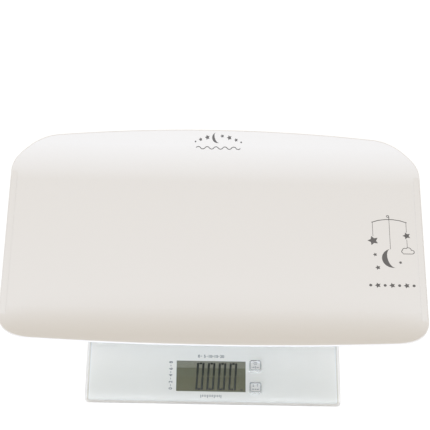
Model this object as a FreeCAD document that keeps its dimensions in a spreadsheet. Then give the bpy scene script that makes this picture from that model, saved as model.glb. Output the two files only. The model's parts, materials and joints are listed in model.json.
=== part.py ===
"""Digital baby weighing scale: a trough-shaped tray standing on a glass platform scale.

Frame: millimetres, +Z up, +X to the user's right, +Y away from the user. The origin is on
the table, in the middle of the scale's outline. Every size is a cell of the Sizes sheet,
and every sketch, pad, fillet and placement is bound to those cells.
"""
import FreeCAD, Part
import math
import os
import Sketcher

# ---------------------------------------------------------------------------
# Driving dimensions
# ---------------------------------------------------------------------------
SIZES = {
    # tray: outline in plan
    "tray_length": 550.0,
    "tray_depth": 332.0,
    "tray_edge_radius": 2800.0,
    "rear_shoulder_radius": 85.0,
    "rear_corner_radius": 32.0,
    "front_shoulder_radius": 50.0,
    "front_corner_radius": 46.0,
    "tray_corner_split": 45.0,
    # tray: section across the trough
    "tray_wall": 3.0,
    "tray_flat_depth": 199.0,
    "tray_curve_radius": 84.0,
    "tray_wall_slope": 34.0,
    "trim_margin": 12.0,
    "tray_rim_round": 1.2,
    "end_bead_width": 7.0,
    "end_bead_rise": 0.8,
    "end_bead_margin": 0.6,
    # tray: ribs, pads and locating skirt underneath
    "tray_lift": 12.0,
    "rib_thickness": 2.4,
    "wing_rib_depth": 6.0,
    "wing_rib_inset": 30.0,
    "pad_boss_diameter": 26.0,
    "pad_diameter": 22.0,
    "pad_height": 3.0,
    "pad_recess": 1.0,
    "pad_clearance": 0.3,
    "pad_side_inset": 50.0,
    "pad_rear_inset": 27.0,
    "pad_row_pitch": 140.0,
    "skirt_drop": 4.0,
    "skirt_clearance": 1.2,
    "side_skirt_length": 160.0,
    "rear_skirt_length": 240.0,
    # glass platform
    "glass_width": 320.0,
    "glass_depth": 320.0,
    "glass_thickness": 6.0,
    "glass_corner": 5.0,
    "glass_edge_round": 2.4,
    "glass_overhang": 59.0,
    "glass_height": 22.0,
    # display and keys
    "window_shift": 2.0,
    "window_inset": 19.5,
    "window_width": 86.0,
    "window_depth": 42.5,
    "display_border": 1.8,
    "display_thickness": 2.8,
    "display_clearance": 0.3,
    "holder_wall": 1.2,
    "holder_gap": 0.3,
    "zebra_width": 2.4,
    "zebra_inset": 2.0,
    "key_size": 14.6,
    "key_corner": 2.4,
    "key_clearance": 0.3,
    "key_gap_from_window": 5.0,
    "key_front_inset": 23.0,
    "key_pitch": 31.0,
    "key_proud": 0.5,
    "key_edge_bevel": 0.4,
    "key_flange": 1.0,
    "key_flange_thickness": 1.2,
    "key_travel": 0.8,
    "key_stem_diameter": 5.0,
    "switch_size": 6.2,
    "switch_height": 3.6,
    "plunger_diameter": 3.2,
    "plunger_rise": 1.4,
    "plunger_clearance": 0.3,
    "plunger_floor": 0.8,
    # electronics housing under the glass
    "ground_clearance": 5.0,
    "housing_left": 64.0,
    "housing_right": 80.0,
    "housing_front_inset": 10.0,
    "housing_depth": 90.0,
    "housing_wall": 2.0,
    "housing_corner": 8.0,
    "cover_thickness": 3.0,
    "cover_edge_bevel": 1.0,
    "boss_diameter": 6.4,
    "boss_inset": 5.2,
    "screw_hole": 2.4,
    "boss_hole_depth": 9.0,
    "counterbore_diameter": 4.8,
    "counterbore_depth": 1.8,
    "board_height": 12.0,
    "board_thickness": 1.6,
    "board_margin": 3.0,
    "board_side_margin": 7.0,
    "board_rear_margin": 20.0,
    "board_side_gap": 3.0,
    "board_front_gap": 1.0,
    "post_diameter": 6.0,
    "post_inset": 4.0,
    "post_hole_depth": 3.4,
    "chip_size": 9.0,
    "chip_height": 1.4,
    "crystal_length": 8.0,
    "crystal_diameter": 3.0,
    "crystal_flat": 0.1,
    "crystal_place": 6.5,
    # battery compartment and door
    "battery_length": 44.5,
    "battery_diameter": 10.5,
    "battery_tip_diameter": 3.8,
    "battery_tip_length": 1.0,
    "battery_gap": 0.8,
    "battery_clearance": 0.3,
    "contact_thickness": 0.5,
    "contact_bow": 2.2,
    "contact_height": 7.0,
    "cell_wall": 1.6,
    "cells_inset": 6.0,
    "door_thickness": 2.0,
    "door_lip": 1.0,
    "door_overlap": 3.6,
    "door_tongue_inset": 2.0,
    "door_lip_width": 2.0,
    "door_clearance": 0.3,
    "door_groove_width": 1.6,
    "door_groove_depth": 0.5,
    "door_groove_pitch": 3.6,
    "door_groove_count": 4.0,
    # load-cell feet
    "foot_inset": 38.0,
    "foot_housing_size": 54.0,
    "foot_housing_height": 12.0,
    "foot_housing_corner": 9.0,
    "foot_edge_bevel": 1.2,
    "cell_size": 34.0,
    "cell_clearance": 0.6,
    "cell_thickness": 2.0,
    "cell_seat_depth": 7.0,
    "cell_slot": 2.0,
    "cell_tongue": 14.0,
    "cell_frame": 5.0,
    "foot_cap_diameter": 42.0,
    "foot_cap_gap": 2.0,
    "foot_cap_height": 9.0,
    "foot_cap_wall": 3.0,
    "foot_cap_floor": 3.0,
    "foot_cap_boss": 5.0,
    "foot_pad_diameter": 38.0,
    "foot_pad_thickness": 3.0,
    "foot_pad_exposed": 2.0,
    "foot_pad_clearance": 0.3,
    "foot_pad_groove": 26.0,
    "foot_pad_groove_width": 2.0,
    "foot_pad_groove_depth": 0.8,
    "foot_well_diameter": 18.0,
    # leads from the load cells
    "lead_diameter": 2.4,
    "lead_clearance": 0.3,
    "lead_reach": 6.0,
    "lead_end_inset": 3.0,
    "lead_drop_radius": 3.2,
    "lead_straight": 0.2,
    "lead_side_run": 66.0,
    "lead_bend_radius": 70.0,
    "rear_lead_place": 44.0,
    "rear_lead_end": 6.0,
    "clip_size": 8.0,
    "clip_floor": 0.9,
    "clip_margin": 1.5,
}

doc = FreeCAD.newDocument("BabyScale")
sheet = doc.addObject("Spreadsheet::Sheet", "Sizes")


class Size:
    """A number that remembers the expression which works it out from the sheet's cells."""

    def __init__(self, value, text):
        self.value = value
        self.text = text

    def __add__(self, other):
        other = as_size(other)
        return Size(self.value + other.value, f"({self.text} + {other.text})")

    def __radd__(self, other):
        return as_size(other) + self

    def __sub__(self, other):
        other = as_size(other)
        return Size(self.value - other.value, f"({self.text} - {other.text})")

    def __rsub__(self, other):
        return as_size(other) - self

    def __mul__(self, other):
        other = as_size(other)
        return Size(self.value * other.value, f"({self.text} * {other.text})")

    def __rmul__(self, other):
        return as_size(other) * self

    def __truediv__(self, other):
        other = as_size(other)
        return Size(self.value / other.value, f"({self.text} / {other.text})")

    def __neg__(self):
        return Size(-self.value, f"(0 - {self.text})")


def as_size(number):
    if isinstance(number, Size):
        return number
    return Size(float(number), f"({float(number)})")


def sine(angle):
    return Size(math.sin(math.radians(angle.value)), f"sin({angle.text} * 1 deg)")


def cosine(angle):
    return Size(math.cos(math.radians(angle.value)), f"cos({angle.text} * 1 deg)")


def root(number):
    return Size(math.sqrt(number.value), f"sqrt({number.text})")


def larger(one, other):
    one = as_size(one)
    other = as_size(other)
    return Size(max(one.value, other.value), f"max({one.text}; {other.text})")


def smaller(one, other):
    return -larger(-one, -other)


def fill_sheet():
    """Write each driving dimension to its own row, with the alias that expressions use."""
    for row, (alias, value) in enumerate(SIZES.items(), start=1):
        sheet.set(f"A{row}", alias)
        sheet.set(f"B{row}", str(value))
        sheet.setAlias(f"B{row}", alias)
    doc.recompute()


def size(alias):
    return Size(SIZES[alias], f"Sizes.{alias}")


fill_sheet()


# ---------------------------------------------------------------------------
# Helpers: bodies, sketches and features bound to the sheet
# ---------------------------------------------------------------------------
def bind(thing, field, value):
    thing.setExpression(field, as_size(value).text)


def new_body(label, x=0, y=0, z=0):
    """A PartDesign body at a bound place. Its label names its file."""
    body = doc.addObject("PartDesign::Body", label)
    body.Label = label
    body.AllowCompound = True
    bind(body, "Placement.Base.x", x)
    bind(body, "Placement.Base.y", y)
    bind(body, "Placement.Base.z", z)
    return body


def new_sketch(body, plane, offset=0):
    """A sketch on one of the body's own origin planes, moved along the plane's normal."""
    sketch = body.newObject("Sketcher::SketchObject", f"{body.Name}_outline")
    support = [item for item in body.Origin.OriginFeatures if item.Role == plane][0]
    sketch.AttachmentSupport = [(support, "")]
    sketch.MapMode = "FlatFace"
    bind(sketch, "AttachmentOffset.Base.z", offset)
    return sketch


def fix_point(sketch, geometry, position, x, y):
    """Hold a point of a sketch at bound distances from the sketch's origin."""
    for kind, distance in (("DistanceX", as_size(x)), ("DistanceY", as_size(y))):
        rule = Sketcher.Constraint(kind, -1, 1, geometry, position, distance.value)
        index = sketch.addConstraint(rule)
        bind(sketch, f"Constraints[{index}]", distance)


def arc_between(start, end, radius):
    """The minor arc from start to end; a positive radius turns left, a negative one right."""
    chord = end - start
    middle = (start + end) * 0.5
    across = FreeCAD.Vector(-chord.y, chord.x, 0) * (1 / chord.Length)
    rise = math.sqrt(max(radius**2 - (chord.Length / 2) ** 2, 0))
    centre = middle + across * math.copysign(rise, radius)
    ring = Part.Circle(centre, FreeCAD.Vector(0, 0, 1), abs(radius))
    first, last = (start, end) if radius > 0 else (end, start)
    begin = math.atan2(first.y - centre.y, first.x - centre.x)
    finish = math.atan2(last.y - centre.y, last.x - centre.x)
    return Part.ArcOfCircle(ring, begin, finish)


def add_outline(sketch, points):
    """A closed outline. A point is (x, y), or (x, y, radius) where an arc leaves it."""
    corners = [FreeCAD.Vector(as_size(point[0]).value, as_size(point[1]).value, 0) for point in points]
    ends = []
    for number, point in enumerate(points):
        start = corners[number]
        end = corners[(number + 1) % len(points)]
        if len(point) == 2:
            edge = sketch.addGeometry(Part.LineSegment(start, end))
            ends.append((edge, 1, 2))
            continue
        radius = as_size(point[2])
        edge = sketch.addGeometry(arc_between(start, end, radius.value))
        ends.append((edge, 1, 2) if radius.value > 0 else (edge, 2, 1))
        rule = sketch.addConstraint(Sketcher.Constraint("Radius", edge, abs(radius.value)))
        bind(sketch, f"Constraints[{rule}]", radius if radius.value > 0 else -radius)
    for number, point in enumerate(points):
        edge, _, last = ends[number]
        following, first, _ = ends[(number + 1) % len(points)]
        sketch.addConstraint(Sketcher.Constraint("Coincident", edge, last, following, first))
    for number, point in enumerate(points):
        edge, first, _ = ends[number]
        fix_point(sketch, edge, first, point[0], point[1])


def add_rectangle(sketch, left, low, right, high):
    add_outline(sketch, [(left, low), (right, low), (right, high), (left, high)])


def add_square(sketch, x, y, width):
    add_rectangle(sketch, x - width / 2, y - width / 2, x + width / 2, y + width / 2)


def add_rounded(sketch, left, low, right, high, radius):
    """A rectangle with a quarter-circle at each corner."""
    add_outline(sketch, [
        (left + radius, low),
        (right - radius, low, radius),
        (right, low + radius),
        (right, high - radius, radius),
        (right - radius, high),
        (left + radius, high, radius),
        (left, high - radius),
        (left, low + radius, radius),
    ])


def add_circle(sketch, x, y, diameter):
    x = as_size(x)
    y = as_size(y)
    diameter = as_size(diameter)
    ring = Part.Circle(FreeCAD.Vector(x.value, y.value, 0), FreeCAD.Vector(0, 0, 1), diameter.value / 2)
    edge = sketch.addGeometry(ring)
    rule = sketch.addConstraint(Sketcher.Constraint("Diameter", edge, diameter.value))
    bind(sketch, f"Constraints[{rule}]", diameter)
    fix_point(sketch, edge, 3, x, y)


def pad(body, sketch, length, symmetric=False):
    feature = body.newObject("PartDesign::Pad", f"{body.Name}_pad")
    feature.Profile = sketch
    bind(feature, "Length", length)
    if symmetric:
        feature.SideType = "Symmetric"
    return feature


def pocket(body, sketch, length, way="up"):
    """Cut up or down the sketch's normal or both ways, and check that material went."""
    doc.recompute()
    before = body.Shape.Volume
    feature = body.newObject("PartDesign::Pocket", f"{body.Name}_pocket")
    feature.Profile = sketch
    feature.Reversed = way == "up"
    bind(feature, "Length", length)
    if way == "both":
        feature.SideType = "Symmetric"
    doc.recompute()
    if feature.Shape.Volume > before - 1e-6:
        raise ValueError(f"{body.Label}: a pocket cuts nothing")
    return feature


def revolve(body, sketch, axis="V_Axis"):
    """Turn a half section about one of its sketch's own axes."""
    feature = body.newObject("PartDesign::Revolution", f"{body.Name}_turned")
    feature.Profile = sketch
    feature.ReferenceAxis = (sketch, [axis])
    feature.Angle = 360


def dress_edges(body, kind, field, width, wanted):
    """Fillet or chamfer the edges of the body's last feature that pass the test."""
    doc.recompute()
    base = body.Tip
    names = [f"Edge{number}" for number, edge in enumerate(base.Shape.Edges, start=1) if wanted(edge)]
    feature = body.newObject(f"PartDesign::{kind}", f"{body.Name}_{kind.lower()}")
    feature.Base = (base, names)
    bind(feature, field, width)
    return feature


def round_edges(body, radius, wanted):
    return dress_edges(body, "Fillet", "Radius", radius, wanted)


def bevel_edges(body, width, wanted):
    return dress_edges(body, "Chamfer", "Size", width, wanted)


def level_at(height):
    """A test for edges that lie wholly at one height of their body."""
    height = as_size(height).value

    def wanted(edge):
        box = edge.BoundBox
        return abs(box.ZMin - height) < 1e-3 and abs(box.ZMax - height) < 1e-3

    return wanted


def rim_of(feature):
    """A test for edges between an upright face and one that isn't upright."""
    doc.recompute()
    upright = []
    for face in feature.Shape.Faces:
        first_u, last_u, first_v, last_v = face.ParameterRange
        normal = face.normalAt((first_u + last_u) / 2, (first_v + last_v) / 2)
        if abs(normal.z) < 1e-6:
            upright.append(face)

    def wanted(edge):
        sides = [face for face in upright if any(edge.isSame(other) for other in face.Edges)]
        return len(sides) == 1

    return wanted


# ---------------------------------------------------------------------------
# Places that several pieces share
# ---------------------------------------------------------------------------
glass_top = size("glass_height") + size("glass_thickness")
overall_depth = size("tray_depth") + size("glass_overhang")
glass_front = -overall_depth / 2
glass_rear = glass_front + size("glass_depth")
glass_y = glass_front + size("glass_depth") / 2
glass_half_width = size("glass_width") / 2
tray_y = overall_depth / 2 - size("tray_depth") / 2
tray_floor = glass_top + size("tray_lift") + size("tray_wall")
tray_half_length = size("tray_length") / 2
tray_half_depth = size("tray_depth") / 2

window_front = glass_front + size("window_inset")
window_x = -size("window_shift")
window_y = window_front + size("window_depth") / 2
key_x = window_x + size("window_width") / 2 + size("key_gap_from_window") + size("key_size") / 2
key_front_y = glass_front + size("key_front_inset")
key_rear_y = key_front_y + size("key_pitch")

cover_bottom = size("ground_clearance")
cover_top = cover_bottom + size("cover_thickness")
housing_front = glass_front + size("housing_front_inset")
housing_rear = housing_front + size("housing_depth")
board_top = size("board_height") + size("board_thickness")


# ---------------------------------------------------------------------------
# Tray
# ---------------------------------------------------------------------------
def draw_trough(sketch, thickness):
    """Section across the trough, with the top of its floor at height 0."""
    flat = size("tray_flat_depth") / 2
    curve = size("tray_curve_radius")
    slope = size("tray_wall_slope")
    end = tray_half_depth + size("trim_margin")

    def wall(offset):
        """Points of one surface from the floor's edge outwards, shifted down by the offset."""
        radius = curve + offset
        bend_y = flat + radius * sine(slope)
        bend_z = curve - radius * cosine(slope)
        end_z = bend_z + (end - bend_y) * sine(slope) / cosine(slope)
        return radius, bend_y, bend_z, end_z

    outer_radius, outer_y, outer_z, outer_end = wall(thickness)
    inner_radius, inner_y, inner_z, inner_end = wall(as_size(0))
    add_outline(sketch, [
        (flat, -thickness, outer_radius),
        (outer_y, outer_z),
        (end, outer_end),
        (end, inner_end),
        (inner_y, inner_z, -inner_radius),
        (flat, 0),
        (-flat, 0, -inner_radius),
        (-inner_y, inner_z),
        (-end, inner_end),
        (-end, outer_end),
        (-outer_y, outer_z, outer_radius),
        (-flat, -thickness),
    ])


def corner_points(shoulder, corner):
    """Where a quarter of the plan changes radius: the end's straight, the joint and the long edge."""
    edge = size("tray_edge_radius")
    split = size("tray_corner_split")
    corner_x = tray_half_length - corner
    shoulder_x = corner_x - (shoulder - corner) * sine(split)
    lean = shoulder_x / (edge - shoulder)
    upright = root(1 - lean * lean)
    edge_y = tray_half_depth - edge
    corner_y = edge_y + (edge - shoulder) * upright + (shoulder - corner) * cosine(split)
    return [
        (tray_half_length, corner_y),
        (corner_x + corner * sine(split), corner_y + corner * cosine(split)),
        (edge * lean, edge_y + edge * upright),
    ]


def draw_tray_plan(sketch):
    """Plan of the tray: bowed long edges, straight ends, and rounder corners at the front."""
    edge = size("tray_edge_radius")
    rear_shoulder = size("rear_shoulder_radius")
    rear_corner = size("rear_corner_radius")
    front_shoulder = size("front_shoulder_radius")
    front_corner = size("front_corner_radius")
    rear = corner_points(rear_shoulder, rear_corner)
    front = corner_points(front_shoulder, front_corner)
    add_outline(sketch, [
        (front[0][0], -front[0][1]),
        (rear[0][0], rear[0][1], rear_corner),
        (rear[1][0], rear[1][1], rear_shoulder),
        (rear[2][0], rear[2][1], edge),
        (-rear[2][0], rear[2][1], rear_shoulder),
        (-rear[1][0], rear[1][1], rear_corner),
        (-rear[0][0], rear[0][1]),
        (-front[0][0], -front[0][1], front_corner),
        (-front[1][0], -front[1][1], front_shoulder),
        (-front[2][0], -front[2][1], edge),
        (front[2][0], -front[2][1], front_shoulder),
        (front[1][0], -front[1][1], front_corner),
    ])


def draw_end_bead(sketch):
    """Section of the low bead along an end: flat on top, so that the rising walls swallow it."""
    curve = size("tray_curve_radius")
    rise = size("end_bead_rise")
    run_out = root(curve * curve - (curve - rise) * (curve - rise))
    end = size("tray_flat_depth") / 2 + run_out + rise
    add_rectangle(sketch, -end, -size("tray_wall") / 2, end, rise)


def underside_at(y):
    """Height of the trough's underside, y behind the tray's middle and below the straight walls."""
    outer = size("tray_curve_radius") + size("tray_wall")
    beyond = larger(0, y - size("tray_flat_depth") / 2)
    return size("tray_curve_radius") - root(outer * outer - beyond * beyond)


def pad_columns():
    side = glass_half_width - size("pad_side_inset")
    return [-side, as_size(0), side]


def pad_rows():
    """Rows of the pads over the glass, measured from the middle of the tray."""
    rear = glass_rear - tray_y - size("pad_rear_inset")
    return [rear - size("pad_row_pitch"), rear]


def pad_places():
    return [(x, y) for x in pad_columns() for y in pad_rows()]


def add_tray_ribs(tray):
    """Ribs and pad bosses, rooted half a wall deep in the floor."""
    wall = size("tray_wall")
    thick = size("rib_thickness")
    boss_depth = size("tray_lift") - (size("pad_height") - size("pad_recess"))
    reach = tray_half_length - size("wing_rib_inset")
    side = pad_columns()[-1]
    front, rear = pad_rows()

    long_ribs = new_sketch(tray, "XY_Plane", -wall - size("wing_rib_depth"))
    for y in (front, rear):
        add_rectangle(long_ribs, -reach, y - thick / 2, reach, y + thick / 2)
    pad(tray, long_ribs, size("wing_rib_depth") + wall / 2)

    rows = new_sketch(tray, "XY_Plane", -wall - boss_depth)
    for y in (front, rear):
        add_rectangle(rows, -side, y - thick / 2, side, y + thick / 2)
    pad(tray, rows, boss_depth + wall / 2)

    columns = new_sketch(tray, "XY_Plane", -wall - boss_depth)
    for x in pad_columns():
        add_rectangle(columns, x - thick / 2, front, x + thick / 2, rear)
    pad(tray, columns, boss_depth + wall / 2)

    bosses = new_sketch(tray, "XY_Plane", -wall - boss_depth)
    for x, y in pad_places():
        add_circle(bosses, x, y, size("pad_boss_diameter"))
    pad(tray, bosses, boss_depth + wall / 2)

    recesses = new_sketch(tray, "XY_Plane", -wall - boss_depth)
    for x, y in pad_places():
        add_circle(recesses, x, y, size("pad_diameter") + size("pad_clearance"))
    pocket(tray, recesses, size("pad_recess"))


def add_tray_skirts(tray):
    """Skirts that hang past the glass at both sides and at the rear, to keep the tray in place."""
    wall = size("tray_wall")
    thick = size("rib_thickness")
    depth = size("tray_lift") + size("skirt_drop")
    inner_x = glass_half_width + size("skirt_clearance")
    half = size("side_skirt_length") / 2
    sides = new_sketch(tray, "XY_Plane", -wall - depth)
    for left in (-inner_x - thick, inner_x):
        add_rectangle(sides, left, -half, left + thick, half)
    pad(tray, sides, depth + wall / 2)

    inner_y = glass_rear - tray_y + size("skirt_clearance")
    half = size("rear_skirt_length") / 2
    rear = new_sketch(tray, "XY_Plane", -wall - depth)
    add_rectangle(rear, -half, inner_y, half, inner_y + thick)
    pad(tray, rear, depth + wall + underside_at(inner_y + thick) + wall / 2)


def make_tray():
    """Moulded trough with a rounded rim, a bead along each end and ribs underneath."""
    tray = new_body("tray", 0, tray_y, tray_floor)
    wall = size("tray_wall")
    section = new_sketch(tray, "YZ_Plane")
    draw_trough(section, wall)
    pad(tray, section, size("tray_length") + size("trim_margin"), symmetric=True)

    plan = new_sketch(tray, "XY_Plane", -wall)
    margin = size("trim_margin") + wall
    add_rectangle(plan, -tray_half_length - margin, -tray_half_depth - margin,
                  tray_half_length + margin, tray_half_depth + margin)
    draw_tray_plan(plan)
    cut = pocket(tray, plan, size("tray_depth"), way="both")
    round_edges(tray, size("tray_rim_round"), rim_of(cut))

    bead = size("end_bead_width")
    edge = tray_half_length - size("tray_rim_round") - size("end_bead_margin")
    for inner_x in (edge - bead, -edge):
        section = new_sketch(tray, "YZ_Plane", inner_x)
        draw_end_bead(section)
        pad(tray, section, bead)

    add_tray_ribs(tray)
    add_tray_skirts(tray)


def make_tray_pads():
    """Rubber discs that stand the tray on the glass, bonded into the bosses' recesses."""
    pads = new_body("tray_pads", 0, tray_y, glass_top)
    discs = new_sketch(pads, "XY_Plane")
    for x, y in pad_places():
        add_circle(discs, x, y, size("pad_diameter"))
    pad(pads, discs, size("pad_height"))


# ---------------------------------------------------------------------------
# Glass platform
# ---------------------------------------------------------------------------
def key_places():
    """The two keys, front one first: a name and the middle of its cap."""
    return [("unit", key_x, key_front_y), ("tare", key_x, key_rear_y)]


def make_glass():
    """Tempered plate with a pencil-rounded edge and an aperture for each key."""
    glass = new_body("glass_platform", 0, glass_y, size("glass_height"))
    half_depth = size("glass_depth") / 2
    plate = new_sketch(glass, "XY_Plane")
    add_rounded(plate, -glass_half_width, -half_depth, glass_half_width, half_depth,
                size("glass_corner"))
    slab = pad(glass, plate, size("glass_thickness"))
    round_edges(glass, size("glass_edge_round"), rim_of(slab))

    apertures = new_sketch(glass, "XY_Plane", size("glass_thickness"))
    half = size("key_size") / 2 + size("key_clearance")
    for _, x, y in key_places():
        middle = y - glass_y
        add_rounded(apertures, x - half, middle - half, x + half, middle + half,
                    size("key_corner") + size("key_clearance"))
    pocket(glass, apertures, size("glass_thickness"), way="down")


# ---------------------------------------------------------------------------
# Load-cell feet
# ---------------------------------------------------------------------------
def foot_places():
    """The four feet: a name and the middle of each."""
    reach_x = glass_half_width - size("foot_inset")
    reach_y = size("glass_depth") / 2 - size("foot_inset")
    return [
        ("front_left", -reach_x, glass_y - reach_y),
        ("front_right", reach_x, glass_y - reach_y),
        ("rear_left", -reach_x, glass_y + reach_y),
        ("rear_right", reach_x, glass_y + reach_y),
    ]


lead_channel = size("lead_diameter") + 2 * size("lead_clearance")
housing_base = size("glass_height") - size("foot_housing_height")
cell_top = housing_base + size("cell_seat_depth")
cell_bottom = cell_top - size("cell_thickness")


def make_foot_housing(name, x, y):
    """Shell bonded under the glass: it holds the load cell and shrouds the foot cap."""
    body = new_body(f"foot_housing_{name}", x, y, housing_base)
    half = size("foot_housing_size") / 2
    block = new_sketch(body, "XY_Plane")
    add_rounded(block, -half, -half, half, half, size("foot_housing_corner"))
    pad(body, block, size("foot_housing_height"))
    bevel_edges(body, size("foot_edge_bevel"), level_at(0))

    bore = new_sketch(body, "XY_Plane")
    add_circle(bore, 0, 0, size("foot_cap_diameter") + 2 * size("foot_cap_gap"))
    pocket(body, bore, size("cell_seat_depth") - size("cell_thickness") - size("cell_clearance"))

    seat = new_sketch(body, "XY_Plane")
    add_square(seat, 0, 0, size("cell_size") + size("cell_clearance"))
    pocket(body, seat, size("cell_seat_depth"))

    well = new_sketch(body, "XY_Plane")
    add_circle(well, 0, 0, size("foot_well_diameter"))
    pocket(body, well, size("foot_housing_height"))

    channel = new_sketch(body, "XY_Plane", size("foot_housing_height"))
    wide = size("lead_diameter") / 2 + size("lead_clearance")
    if name == "front_left":
        add_rectangle(channel, 0, -wide, half, wide)
    elif name == "front_right":
        add_rectangle(channel, -half, -wide, 0, wide)
    else:
        add_rectangle(channel, -wide, -half, wide, 0)
    pocket(body, channel, lead_channel, way="down")


def make_load_cell(name, x, y):
    """Half-bridge plate: an outer frame, and a tongue cut free on three sides that bends."""
    body = new_body(f"load_cell_{name}", x, y, cell_bottom)
    half = size("cell_size") / 2
    plate = new_sketch(body, "XY_Plane")
    add_rounded(plate, -half, -half, half, half, size("cell_slot"))
    pad(body, plate, size("cell_thickness"))
    slot = new_sketch(body, "XY_Plane")
    inner = size("cell_tongue") / 2
    outer = inner + size("cell_slot")
    top = half - size("cell_frame")
    add_outline(slot, [
        (-outer, -top),
        (outer, -top),
        (outer, inner),
        (inner, inner),
        (inner, -top + size("cell_slot")),
        (-inner, -top + size("cell_slot")),
        (-inner, inner),
        (-outer, inner),
    ])
    pocket(body, slot, size("cell_thickness"))


def make_foot_cap(name, x, y):
    """Turned cup whose central boss presses on the load cell's tongue."""
    body = new_body(f"foot_cap_{name}", x, y, size("foot_pad_exposed"))
    outer = size("foot_cap_diameter") / 2
    well = outer - size("foot_cap_wall")
    seat = size("foot_pad_diameter") / 2 + size("foot_pad_clearance")
    recess = size("foot_pad_thickness") - size("foot_pad_exposed")
    floor = recess + size("foot_cap_floor")
    height = size("foot_cap_height")
    boss = size("foot_cap_boss")
    section = new_sketch(body, "XZ_Plane")
    add_outline(section, [
        (0, recess),
        (seat, recess),
        (seat, 0),
        (outer, 0),
        (outer, height),
        (well, height),
        (well, floor),
        (boss, floor),
        (boss, cell_bottom - size("foot_pad_exposed")),
        (0, cell_bottom - size("foot_pad_exposed")),
    ])
    revolve(body, section)


def make_foot_pad(name, x, y):
    """Rubber disc that meets the table, with a ring groove for grip."""
    body = new_body(f"foot_pad_{name}", x, y, 0)
    disc = new_sketch(body, "XY_Plane")
    add_circle(disc, 0, 0, size("foot_pad_diameter"))
    pad(body, disc, size("foot_pad_thickness"))
    groove = new_sketch(body, "XY_Plane")
    add_circle(groove, 0, 0, size("foot_pad_groove"))
    add_circle(groove, 0, 0, size("foot_pad_groove") - 2 * size("foot_pad_groove_width"))
    pocket(body, groove, size("foot_pad_groove_depth"))


# ---------------------------------------------------------------------------
# Electronics housing
# ---------------------------------------------------------------------------
def boss_places():
    """Screw bosses at the housing's corners."""
    inset = size("boss_inset")
    return [(x, y)
            for x in (-size("housing_left") + inset, size("housing_right") - inset)
            for y in (housing_front + inset, housing_rear - inset)]


def make_housing_frame():
    """Wall bonded under the glass round the display, keys and battery compartment."""
    body = new_body("housing_frame", 0, 0, cover_top)
    left = -size("housing_left")
    right = size("housing_right")
    wall = size("housing_wall")
    corner = size("housing_corner")
    height = size("glass_height") - cover_top
    ring = new_sketch(body, "XY_Plane")
    add_rounded(ring, left, housing_front, right, housing_rear, corner)
    add_rounded(ring, left + wall, housing_front + wall, right - wall, housing_rear - wall,
                corner - wall)
    pad(body, ring, height)
    bosses = new_sketch(body, "XY_Plane")
    for x, y in boss_places():
        add_circle(bosses, x, y, size("boss_diameter"))
    pad(body, bosses, height)
    holes = new_sketch(body, "XY_Plane")
    for x, y in boss_places():
        add_circle(holes, x, y, size("screw_hole"))
    pocket(body, holes, size("boss_hole_depth"))

    wide = size("lead_diameter") / 2 + size("lead_clearance")
    feet = foot_places()
    notches = new_sketch(body, "XY_Plane", height)
    front_y = feet[0][2]
    add_rectangle(notches, left - wall, front_y - wide, left + 2 * wall, front_y + wide)
    add_rectangle(notches, right - 2 * wall, front_y - wide, right + wall, front_y + wide)
    for x in (-size("rear_lead_place"), size("rear_lead_place")):
        add_rectangle(notches, x - wide, housing_rear - 2 * wall, x + wide, housing_rear + wall)
    pocket(body, notches, lead_channel, way="down")


# battery compartment, in the rear half of the cover
cell_row_half = size("battery_length") / 2 + size("battery_gap") / 2 + size("contact_bow")
cells_depth = 2 * size("battery_diameter") + 3 * size("battery_gap")
cells_rear = housing_rear - size("cells_inset")
cells_y = cells_rear - cells_depth / 2
cells_front = cells_rear - cells_depth
door_top = cover_bottom + size("door_thickness")
cells_floor = door_top + size("door_clearance")
cells_roof = cells_floor + size("battery_diameter") + 2 * size("battery_clearance")
cell_axis_z = cells_floor + size("battery_clearance") + size("battery_diameter") / 2
door_half = cell_row_half + size("door_overlap")
door_front = cells_front - size("door_overlap")
board_left = -size("housing_left") + size("housing_wall") + size("board_side_margin")
board_right = size("housing_right") - size("housing_wall") - size("board_side_margin")
board_front = housing_front + size("housing_wall") + size("board_margin")
board_rear = housing_rear - size("housing_wall") - size("board_rear_margin")


def post_places():
    """Posts of the cover under the circuit board's corners."""
    inset = size("post_inset")
    return [(x, y) for x in (board_left + inset, board_right - inset)
            for y in (board_front + inset, board_rear - inset)]


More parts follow.
